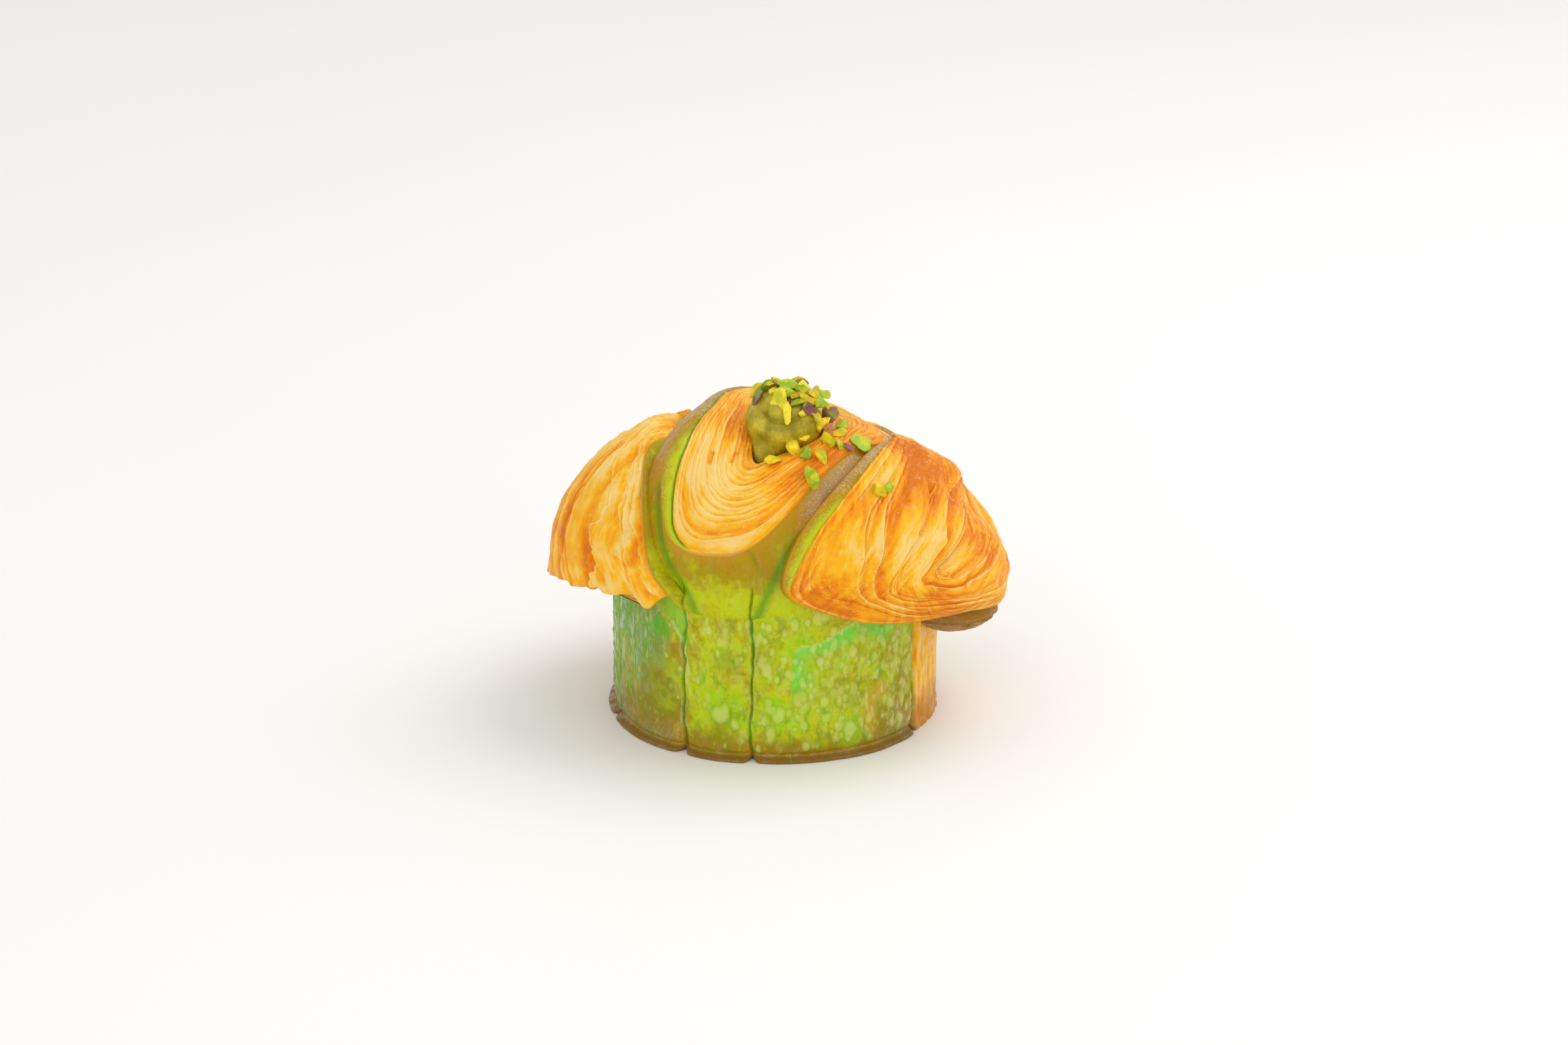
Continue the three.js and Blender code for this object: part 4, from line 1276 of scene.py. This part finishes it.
# Nuts on the cream: azimuth and elevation from its middle, then how far out they are piled.
CREAM_NUTS = {
    "yellow": [
        (159, 45, 1.12), (95, 60, 1.3), (-103, 56, 1), (-86, 34, 1), (-37, 43, 1.05), (-36, 21, 1),
        (6, 19, 1.2), (-26, 4, 1.02), (-57, -10, 1.02), (60, 55, 1.2), (110, 40, 1), (20, 62, 1.15),
        (-140, 72, 1), (-12, 44, 1.2), (-60, 58, 1.05), (150, 66, 1.15), (-8, 4, 1.1), (35, 30, 1.1),
        (-52, 30, 1),
    ],
    "green": [
        (150, 62, 1.2), (-15, 64, 1.15), (-64, 44, 1.05), (10, 32, 1.25), (100, 42, 1.1), (50, 25, 1),
        (-95, 72, 1.05), (-20, 30, 1.1), (60, 75, 1.1),
    ],
    "purple": [(-167, 49, 1), (-76, 46, 1), (-38, 32, 1.08), (2, 12, 1.1), (130, 50, 1), (35, 55, 1.1)],
}

# Nuts on the strands: azimuth and elevation on the dome.
CROWN_NUTS = {
    "yellow": [
        (-72, 55), (-63, 62), (-92, 56), (-57, 41), (-81, 60), (70, 58), (112, 60), (96, 74), (-55, 64),
    ],
    "green": [(-47, 67), (-61, 58), (-49, 59), (-79, 47), (-52, 42), (-78, 57), (84, 66)],
    "purple": [(-58, 57), (-77, 48), (100, 52)],
}


def nut_shapes(count, random, sizes):
    """Chopped nuts round the origin: balls of random proportions, cut by random planes. A point
    past a plane moves back onto it. Gives points as nut, row, column, and their half thicknesses."""
    planes = 8
    _, _, directions = ball_grid(20, 30)
    normals = unit(random.normal(size=(count, planes, 3)))
    offsets = random.uniform(0.24, 0.74, (count, planes))
    shapes = np.broadcast_to(directions, (count, *directions.shape)).copy()
    for plane in range(planes):
        normal = normals[:, None, None, plane]
        past = (shapes * normal).sum(-1) - offsets[:, None, None, plane]
        shapes -= np.clip(past, 0, None)[..., None] * normal
    apart = 7.3
    own = shapes + np.arange(count)[:, None, None, None] * apart
    rough = 0.2 * cloud(own, 0.8, 97) + 0.1 * cloud(own, 0.25, 98)
    shapes = shapes * (1 + rough)[..., None]
    size = random.uniform(sizes.small, sizes.large, count) / MM / 2
    width = size * random.uniform(0.8, 1.25, count)
    thickness = size * random.uniform(0.6, 1.05, count)
    half = np.stack([size * 1.5, width, thickness], -1)
    return shapes * half[:, None, None], half[:, 2]


def nut_frames(normals, random):
    """Turning matrices that lay each nut on its surface, turned about the normal and tilted."""
    tilted = unit(normals + random.normal(scale=0.28, size=normals.shape))
    side = unit(np.cross(tilted, random.normal(size=normals.shape)))
    return np.stack([side, np.cross(tilted, side), tilted], -1)


def crown_and_cream():
    """Search tree over the strands and the cream, in metres."""
    vertices, faces = [], []
    for name in (*STRANDS, "piped_cream"):
        mesh = bpy.data.objects[name].data
        start = len(vertices)
        vertices.extend(vertex.co for vertex in mesh.vertices)
        faces.extend([start + index for index in polygon.vertices] for polygon in mesh.polygons)
    return BVHTree.FromPolygons(vertices, faces)


def nut_bases(kind, tree):
    """Where each nut of a kind sits and the outward normal there, found by rays from outside."""
    scene = bpy.context.scene
    cream = np.array(scene.cream_sizes.centre)
    dome = np.array(scene.crown_sizes.centre)
    off_cream, off_dome = 0.03, 0.08
    picks = [(cream, place[:2], off_cream, place[2]) for place in CREAM_NUTS[kind]]
    picks += [(dome, place, off_dome, 1) for place in CROWN_NUTS[kind]]
    bases, normals = [], []
    for middle, place, far, lift in picks:
        way = towards(*place)
        if middle is dome:
            way = unit(way * dome_axes(way))
        hit = tree.ray_cast(Vector(middle + far * way), Vector(-way))
        if hit[0] is None:
            raise RuntimeError(f"no surface under a {kind} nut at {place}")
        bases.append(middle + (np.array(hit[0]) - middle) * lift)
        normals.append(unit(way + 0.6 * np.array(hit[1])))
    return np.array(bases) / MM, np.array(normals)


def add_nuts(kind, seed, material, tree):
    """One mesh with all the nuts of a kind. A nut that would rise over the ceiling is lowered."""
    sizes = bpy.context.scene.nut_sizes
    random = np.random.default_rng(seed)
    bases, normals = nut_bases(kind, tree)
    count = len(bases)
    shapes, thickness = nut_shapes(count, random, sizes)
    frames = nut_frames(normals, random)
    middles = bases + normals * (thickness * (1 - 2 * sizes.bed))[:, None]
    points = np.einsum("nij,nrcj->nrci", frames, shapes) + middles[:, None, None]
    rows, columns = points.shape[1:3]
    poles = np.stack([points[:, 0].mean(1), points[:, -1].mean(1)], 1)
    vertices = np.concatenate([points.reshape(count, -1, 3), poles], 1)
    each = vertices.shape[1]
    quads, fans = grid_faces(rows, columns, False)
    if enclosed_volume(vertices[0], quads) < 0:
        quads, fans = quads[:, ::-1], fans[:, ::-1]
    starts = (np.arange(count) * each)[:, None, None]
    groups = [(starts + quads).reshape(-1, 4), (starts + fans).reshape(-1, 3)]
    ceiling = (CAD_BOX[1][2] + sizes.over_top) / MM
    vertices[..., 2] -= np.clip(vertices[..., 2].max(1) - ceiling, 0, None)[:, None]
    tint = np.repeat(random.uniform(0, 1, count), each)
    piece = add_mesh(kind + "_nuts", vertices.reshape(-1, 3), groups, {"tint": tint}, material)
    piece.data.shade_flat()
    return piece


# ---------------------------------------------------------------- materials

class Socket:
    """A shader socket that takes part in sums and products by adding Math nodes."""

    def __init__(self, finish, socket):
        self.finish = finish
        self.socket = socket

    def maths(self, operation, first, second):
        """One Math node on two sockets or numbers."""
        made = self.finish.node("Math", {"operation": operation}, {0: first, 1: second})
        return made.out(0)

    def __add__(self, other):
        return self.maths("ADD", self, other)

    def __radd__(self, other):
        return self.maths("ADD", other, self)

    def __mul__(self, other):
        return self.maths("MULTIPLY", self, other)

    def __rmul__(self, other):
        return self.maths("MULTIPLY", other, self)

    def __sub__(self, other):
        return self.maths("SUBTRACT", self, other)

    def __rsub__(self, other):
        return self.maths("SUBTRACT", other, self)


class Node:
    """One node of a finish."""

    def __init__(self, finish, node):
        self.finish = finish
        self.node = node

    def out(self, name):
        """The output of that name or number."""
        return Socket(self.finish, self.node.outputs[name])


class Finish:
    """A procedural material being put together."""

    def __init__(self, name):
        self.material = bpy.data.materials.new(name)
        self.material.use_nodes = True
        self.tree = self.material.node_tree
        self.tree.nodes.clear()
        self.place = self.node("TexCoord").out("Object")

    def node(self, kind, settings=(), sockets=()):
        """Adds a node: first its settings, then a value or a link for each named socket."""
        made = self.tree.nodes.new("ShaderNode" + kind)
        for key, value in dict(settings).items():
            if key == "stops":
                self.set_stops(made.color_ramp.elements, value)
            else:
                setattr(made, key, value)
        for key, value in dict(sockets).items():
            if isinstance(value, Socket):
                self.tree.links.new(value.socket, made.inputs[key])
            else:
                made.inputs[key].default_value = value
        return Node(self, made)

    @staticmethod
    def set_stops(elements, stops):
        """Positions and colours of a ramp's stops."""
        while len(elements) < len(stops):
            elements.new(1)
        for element, (position, colour) in zip(elements, stops):
            element.position = position
            element.color = (*colour, 1)

    def field(self, name):
        """A point attribute of the mesh."""
        return self.node("Attribute", {"attribute_name": name}).out("Fac")

    def ramp(self, value, stops):
        """Colour by a value from 0 to 1."""
        return self.node("ValToRGB", {"stops": stops}, {"Fac": value}).out("Color")

    def mix(self, share, first, second):
        """The share of the second colour over the first."""
        colours = {0: share, 6: self.colour(first), 7: self.colour(second)}
        return self.node("Mix", {"data_type": "RGBA"}, colours).out(2)

    @staticmethod
    def colour(value):
        """A socket as it is, or three numbers as an opaque colour."""
        return value if isinstance(value, Socket) else (*value, 1)

    def stretched(self, vector, ratios):
        """Coordinates times one ratio for each axis: under 1 makes a pattern longer that way."""
        made = self.node("VectorMath", {"operation": "MULTIPLY"}, {0: vector, 1: ratios})
        return made.out(0)

    def tinted(self, colour, tints):
        """The colour with tints over it: for each a point attribute, its share and a colour."""
        for name, share, tint in tints:
            colour = self.mix(self.field(name) * share, colour, tint)
        return colour

    def noise(self, size, detail=3, roughness=0.55, place=None):
        """Noise from 0 to 1 whose lumps are about that many millimetres across."""
        sockets = {
            "Vector": place or self.place, "Scale": 1 / (size * MM), "Detail": detail,
            "Roughness": roughness,
        }
        return self.node("TexNoise", {}, sockets).out("Fac")

    def spots(self, size, inner, outer, place=None):
        """Round spots, 1 inside the inner and 0 past the outer radius, as shares of their spacing."""
        sockets = {"Vector": place or self.place, "Scale": 1 / (size * MM)}
        distance = self.node("TexVoronoi", {}, sockets).out("Distance")
        return self.over(distance, outer, inner)

    def over(self, value, low, high):
        """0 where the value is under low, 1 over high, smooth between."""
        sockets = {"Value": value, "From Min": low, "From Max": high}
        return self.node("MapRange", {"interpolation_type": "SMOOTHSTEP"}, sockets).out(0)

    def bumps(self, *layers):
        """Normal from layers of relief: for each a height that is 0 to 1, the millimetres of its full
        depth, and a strength."""
        normal = None
        for height, depth, strength in layers:
            sockets = {"Height": height, "Distance": depth * MM, "Strength": strength}
            if normal:
                sockets["Normal"] = normal
            normal = self.node("Bump", {}, sockets).out("Normal")
        return normal

    def done(self, sockets):
        """Links the shader and gives the material."""
        shader = self.node("BsdfPrincipled", {}, sockets)
        self.node("OutputMaterial", {}, {"Surface": shader.out("BSDF")})
        return self.material


def skin_colour(finish, uneven=1.0):
    """Colour and painted gloss specks of the coloured skin: green to brown by its browning, mottled,
    with fine dry specks, and painted glints, pale specks for the glitter of light on the glaze, that
    grow dense where it is glazed brown."""
    colours = bpy.context.scene.pastry_colours
    blotch, mottle, grain = finish.noise(5.5, 3), finish.noise(1.7, 3, 0.6), finish.noise(0.34, 2)
    value = finish.field("browning") + (blotch - 0.5) * 0.5 * uneven + (mottle - 0.5) * 0.32 * uneven
    stops = [
        (0.0, colours.lime), (0.24, colours.leaf), (0.5, colours.olive), (0.74, colours.toast),
        (1.0, colours.taupe),
    ]
    colour = finish.ramp(value, stops)
    dry = finish.over(grain, 0.54, 0.68) * finish.over(mottle, 0.45, 0.62)
    colour = finish.mix(dry * 0.16, colour, colours.blister)
    # Painted glints: pale specks where the skin is glazed brown, standing for its glitter of light.
    sparkle = finish.over(grain, 0.54, 0.64) * finish.over(value, 0.68, 0.9)
    colour = finish.mix(sparkle * 0.5, colour, colours.sparkle)
    return colour, grain, mottle


def dough_finish(name, darker=0.0):
    """Baked dough: from pale crumb to brown by how long it baked, with fine leaves along the run, pale
    crests that are partly a painted highlight, amber gaps that are partly painted shade, small bubbles
    and a thin glaze; the strip and the skin are coloured, and where asked the dough is darkened
    further, partly as painted shade."""
    colours = bpy.context.scene.pastry_colours
    finish = Finish(name)
    axes = {"X": finish.field("flow_x"), "Y": finish.field("flow_y"), "Z": finish.field("flow_z")}
    flow = finish.node("CombineXYZ", {}, axes).out("Vector")
    long_flow = finish.stretched(flow, (0.1, 0.1, 1))
    short_flow = finish.stretched(flow, (0.3, 0.3, 1))
    streaks = finish.noise(0.7, 4, 0.6, long_flow)
    lines = finish.noise(0.24, 2, 0.5, long_flow)
    patches = finish.noise(2.4, 3, 0.6, short_flow)
    flecks = finish.noise(0.8, 2, 0.5, finish.stretched(flow, (0.5, 0.5, 1)))
    blotch = finish.noise(6, 3)
    wild, sheets = finish.field("wild"), finish.field("sheets")
    bake = finish.field("bake") + (streaks - 0.5) * wild * 1.1 + (patches - 0.5) * 0.5
    lined = sheets * 0.4 + wild * 0.4
    bake = bake + (blotch - 0.5) * 0.4 + (lines - 0.5) * lined + (flecks - 0.5) * 0.25
    stops = [
        (0.05, colours.pale), (0.36, colours.gold), (0.72, colours.amber), (1.0, colours.brown),
    ]
    crust = finish.ramp(bake, stops)
    # Gaps under the crests and in the creases go darker: partly painted shade.
    crust = finish.mix(finish.field("gap") * 0.6, crust, colours.gap)
    # Pale crests: partly dry dough, partly a painted highlight where the ridges catch the light.
    crest = finish.field("crest") * finish.over(bake, 1.0, 0.3)
    crust = finish.mix(crest * 0.8, crust, colours.crest)
    bubble_area = finish.over(finish.noise(4, 2), 0.5, 0.62)
    bubbles = finish.spots(1.3, 0.1, 0.3) * bubble_area
    crust = finish.mix(bubbles * 0.6, crust, colours.bubble)
    skin, grain, mottle = skin_colour(finish, 1.3)
    strip = finish.field("inner_strip")
    specks = finish.over(grain, 0.48, 0.6) * finish.over(mottle, 0.36, 0.6) * strip
    skin = finish.mix(specks * 0.42, skin, colours.speck)
    colour = finish.mix(finish.field("skin"), crust, skin)
    # Painted shade: the groove and the skin's creases go dark green; wall seams carried onto the skin
    # are dark joints.
    colour = finish.tinted(colour, [("groove", 0.8, colours.moss), ("rim_line", 0.75, colours.rim)])
    # Mixing in char darkens the flap under the right lobe: partly browning, partly painted shade.
    if darker:
        colour = finish.mix(darker, colour, colours.char)
    fine = finish.noise(0.3, 2, 0.5)
    normal = finish.bumps(
        (lines * lined, 0.24, 0.8), (streaks * wild, 0.3, 0.5), (flecks, 0.16, 0.5),
        (bubbles, 0.2, 0.7), (fine, 0.06, 0.6),
    )
    gloss = finish.over(flecks, 0.5, 0.64)
    return finish.done({
        "Base Color": colour, "Roughness": 0.5 - gloss * 0.26, "Normal": normal,
        "Coat Weight": gloss * 0.45, "Coat Roughness": 0.12, "Specular IOR Level": 0.14,
    })


def rind_finish():
    """Green moulded skin: yellow-green with lime, mint, dark and browned patches, pale dry blisters,
    dark seams and a browned lip, and one cut panel of upright leaves."""
    colours = bpy.context.scene.pastry_colours
    finish = Finish("green_rind")
    skin, grain, mottle = skin_colour(finish, 2)
    upright = finish.stretched(finish.place, (1, 1, 0.16))
    fibres = finish.noise(0.9, 3, 0.6, upright)
    haze = finish.noise(2.4, 3, 0.6, finish.stretched(finish.place, (1, 1, 0.6)))
    colour = finish.mix(finish.field("lime") * 0.75, skin, colours.lime)
    colour = finish.mix(finish.over(haze, 0.55, 0.7) * 0.4, colour, colours.blister)
    colour = finish.mix(finish.over(haze, 0.48, 0.34) * 0.55, colour, colours.bottle)
    colour = finish.tinted(colour, [
        ("shade", 0.75, colours.shade), ("mint", 0.95, colours.mint),
        ("toasted", 0.75, colours.toasted),
    ])
    torn = finish.field("torn")
    colour = finish.mix(torn * (mottle * 0.8 + 0.35), colour, colours.teal)
    colour = finish.mix(finish.over(fibres, 0.5, 0.66) * torn * 0.8, colour, colours.fibre)
    colour = finish.mix(finish.field("green") * 0.8, colour, colours.grass)
    blister = finish.field("blister")
    ring = finish.over(blister, 0.02, 0.25) * finish.over(blister, 0.6, 0.25)
    colour = finish.mix(ring * 0.3, colour, colours.ring)
    dry = finish.over(blister + (grain - 0.5) * 0.5, 0.12, 1.0)
    colour = finish.mix(dry * 0.72, colour, colours.blister)
    colour = finish.mix(finish.field("torn_edge") * 0.6, colour, colours.torn_edge)
    seam_lip = finish.field("seam_lip") * finish.over(mottle, 0.4, 0.6)
    colour = finish.mix(seam_lip * 0.5, colour, colours.seam_lip)
    colour = finish.mix(finish.field("seam") * 0.9, colour, colours.moss)
    fibre = finish.field("fibre") + (fibres - 0.5) * 0.8
    cut_stops = [(0.2, colours.amber), (0.45, colours.gold), (0.85, colours.pale)]
    cut_colour = finish.ramp(fibre, cut_stops)
    foot = finish.over(finish.field("level") + (fibres - 0.5) * 0.2, 0.26, 0.1)
    cut_colour = finish.mix(foot * 0.75, cut_colour, colours.cut_foot)
    colour = finish.mix(finish.field("cut"), colour, cut_colour)
    colour = finish.mix(finish.field("lip") * 0.8, colour, colours.lip)
    gloss = finish.over(finish.noise(2.2, 2), 0.45, 0.6)
    normal = finish.bumps((mottle, 0.4, 0.6), (fibres, 0.2, 0.4), (grain, 0.1, 0.5))
    return finish.done({
        "Base Color": colour, "Roughness": 0.48 - gloss * 0.24, "Normal": normal,
        "Coat Weight": gloss * 0.42, "Coat Roughness": 0.12, "Specular IOR Level": 0.14,
    })


def cream_finish():
    """Pistachio cream: olive, lighter on its swells, darker in its folds and pit as painted shade,
    softly glossy.
    """
    colours = bpy.context.scene.pastry_colours
    finish = Finish("pistachio_cream")
    blotch, grain = finish.noise(3.5, 3), finish.noise(0.5, 3)
    value = blotch + (grain - 0.5) * 0.3 + finish.field("tail") * 0.12
    light = tuple(min(1.0, 1.5 * part + 0.03) for part in colours.cream)
    dark = tuple(0.62 * part for part in colours.cream)
    colour = finish.ramp(value, [(0.3, dark), (0.5, colours.cream), (0.72, light)])
    # Painted shade in the folds and the pit.
    colour = finish.mix(finish.field("fold") * 0.5, colour, dark)
    normal = finish.bumps((grain, 0.08, 0.5))
    return finish.done({
        "Base Color": colour, "Roughness": blotch * 0.2 + 0.28, "Normal": normal, "Coat Weight": 0.12,
        "Coat Roughness": 0.2, "Specular IOR Level": 0.25,
    })


def nut_finish(kind, base, second):
    """Chopped nut: its colour lighter or darker from nut to nut, a second colour on some of its
    sides, pale where the cut is dry."""
    finish = Finish(kind + "_nut")
    grain, blotch = finish.noise(0.5, 3), finish.noise(1.6, 3)
    value = finish.field("tint") * 0.5 + blotch * 0.7 - 0.1
    light = tuple(min(1.0, 1.25 * part + 0.04) for part in base)
    dark = tuple(0.6 * part for part in base)
    colour = finish.ramp(value, [(0.2, dark), (0.5, base), (0.8, light)])
    colour = finish.mix(finish.over(grain, 0.55, 0.7) * 0.3, colour, light)
    side = finish.noise(2.6, 2)
    colour = finish.mix(finish.over(side, 0.46, 0.66) * 0.6, colour, second)
    normal = finish.bumps((grain, 0.16, 0.8))
    return finish.done({
        "Base Color": colour, "Roughness": grain * 0.3 + 0.32, "Normal": normal,
        "Specular IOR Level": 0.3,
    })


# ---------------------------------------------------------------- operators

def settle(piece, replaced=()):
    """A finished piece rides on the pastry's only body, and the parts it replaces are hidden."""
    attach(piece, BODY)
    if replaced:
        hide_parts(*replaced)


class PASTRY_OT_strands(bpy.types.Operator):
    """Folded strands of layered dough over the top"""

    bl_idname = "pastry.strands"
    bl_label = "Strands"

    def execute(self, context):
        material = dough_finish("baked_dough")
        for name in STRANDS:
            points, fields = strand_surface(name)
            settle(add_surface(name, points, fields, STRANDS[name]["closed"], material))
        return {"FINISHED"}


class PASTRY_OT_wall(bpy.types.Operator):
    """Moulded green wall with its seams and lip, and the core under the strands"""

    bl_idname = "pastry.wall"
    bl_label = "Wall"

    def execute(self, context):
        points, fields = wall_surface(context.scene.wall_sizes)
        settle(add_surface("moulded_wall", points, fields, False, rind_finish()), ["pastry"])
        return {"FINISHED"}


class PASTRY_OT_flap(bpy.types.Operator):
    """Browned flap under the right lobe"""

    bl_idname = "pastry.flap"
    bl_label = "Flap"

    def execute(self, context):
        points, fields = flap_surface(context.scene.flap_sizes)
        # The flap's dough is darkened: partly browning, partly painted shade from the lobe over it.
        material = dough_finish("browned_and_shaded_dough", 0.34)
        settle(add_surface("browned_flap", points, fields, False, material))
        return {"FINISHED"}


class PASTRY_OT_cream(bpy.types.Operator):
    """Ball of piped pistachio cream"""

    bl_idname = "pastry.cream"
    bl_label = "Cream"

    def execute(self, context):
        points, fields = cream_surface(context.scene.cream_sizes)
        settle(add_surface("piped_cream", points, fields, False, cream_finish()), ["cream"])
        return {"FINISHED"}


class PASTRY_OT_nuts(bpy.types.Operator):
    """Chopped nuts on the cream and the strands"""

    bl_idname = "pastry.nuts"
    bl_label = "Chopped nuts"

    def execute(self, context):
        colours = context.scene.pastry_colours
        tree = crown_and_cream()
        kinds = {
            "yellow": (colours.nut_yellow, colours.nut_green),
            "green": (colours.nut_green, colours.nut_yellow),
            "purple": (colours.nut_purple, colours.nut_green),
        }
        for seed, (kind, pair) in enumerate(kinds.items(), 101):
            settle(add_nuts(kind, seed, nut_finish(kind, *pair), tree))
        return {"FINISHED"}


class PASTRY_OT_stage(bpy.types.Operator):
    """Pale floor, soft studio light and the camera"""

    bl_idname = "pastry.stage"
    bl_label = "Stage"

    def execute(self, context):
        scene = context.scene
        scene.view_settings.view_transform = "Standard"
        self.add_floor(scene)
        self.add_lights(scene)
        self.add_camera(scene)
        return {"FINISHED"}

    def add_floor(self, scene):
        """Pale square under the pastry."""
        finish = Finish("pale_floor")
        stops = [(0.3, (0.94, 0.937, 0.93)), (0.7, (0.955, 0.952, 0.945))]
        tint = finish.ramp(finish.noise(300, 2), stops)
        material = finish.done({"Base Color": tint, "Roughness": 0.6})
        half = 3
        corners = [(-half, -half, 0), (half, -half, 0), (half, half, 0), (-half, half, 0)]
        mesh = bpy.data.meshes.new("floor")
        mesh.from_pydata(corners, [], [(0, 1, 2, 3)])
        mesh.materials.append(material)
        floor = bpy.data.objects.new("floor", mesh)
        scene.collection.objects.link(floor)

    def add_lights(self, scene):
        """Even light from all round, a soft main lamp at the back right and a weaker front one."""
        sizes = scene.stage_sizes
        world = bpy.data.worlds.new("studio")
        world.use_nodes = True
        background = world.node_tree.nodes["Background"]
        background.inputs["Color"].default_value = (1, 0.99, 0.97, 1)
        background.inputs["Strength"].default_value = sizes.sky
        scene.world = world
        lamps = {
            "key": ((0.55, 0.2, 0.85), 0.8, sizes.key),
            "fill": ((-0.35, -0.95, 0.55), 0.7, sizes.fill),
        }
        for name, (place, size, power) in lamps.items():
            light = bpy.data.lights.new(name, "AREA")
            light.energy = power
            light.size = size
            lamp = bpy.data.objects.new(name, light)
            lamp.location = place
            lamp.rotation_euler = (-lamp.location).to_track_quat("-Z", "Y").to_euler()
            scene.collection.objects.link(lamp)

    def add_camera(self, scene):
        """Camera on the pastry's front, looking down at it."""
        sizes = scene.stage_sizes
        camera = bpy.data.cameras.new("camera")
        camera.lens = sizes.lens
        camera.sensor_width = 36
        camera.clip_end = 10
        made = bpy.data.objects.new("camera", camera)
        back = sizes.distance * math.cos(sizes.elevation)
        up = sizes.distance * math.sin(sizes.elevation)
        made.location = (sizes.look_at[0], sizes.look_at[1] - back, sizes.look_at[2] + up)
        made.rotation_euler = (math.pi / 2 - sizes.elevation, 0, 0)
        scene.collection.objects.link(made)
        scene.camera = made


OPERATORS = (
    PASTRY_OT_strands, PASTRY_OT_wall, PASTRY_OT_flap, PASTRY_OT_cream, PASTRY_OT_nuts, PASTRY_OT_stage,
)


class PASTRY_PT_panel(bpy.types.Panel):
    """The steps that build the pastry"""

    bl_label = "Pastry"
    bl_idname = "PASTRY_PT_panel"
    bl_space_type = "VIEW_3D"
    bl_region_type = "UI"
    bl_category = "Pastry"

    def draw(self, context):
        for operator in OPERATORS:
            self.layout.operator(operator.bl_idname)


GROUPS = {
    "crown_sizes": CrownSizes,
    "wall_sizes": WallSizes,
    "cream_sizes": CreamSizes,
    "flap_sizes": FlapSizes,
    "nut_sizes": NutSizes,
    "pastry_colours": Colours,
    "stage_sizes": StageSizes,
}


def register():
    """Registers the classes and hangs each group of sizes on the scene."""
    for made in (*GROUPS.values(), *OPERATORS, PASTRY_PT_panel):
        bpy.utils.register_class(made)
    for name, group in GROUPS.items():
        setattr(bpy.types.Scene, name, PointerProperty(type=group))


def unregister():
    """Undoes register."""
    for name in GROUPS:
        delattr(bpy.types.Scene, name)
    for made in reversed((*GROUPS.values(), *OPERATORS, PASTRY_PT_panel)):
        bpy.utils.unregister_class(made)


def main():
    """Builds the pastry and its stage."""
    register()
    for operator in OPERATORS:
        group, name = operator.bl_idname.split(".")
        getattr(getattr(bpy.ops, group), name)()


if __name__ == "__main__":
    main()
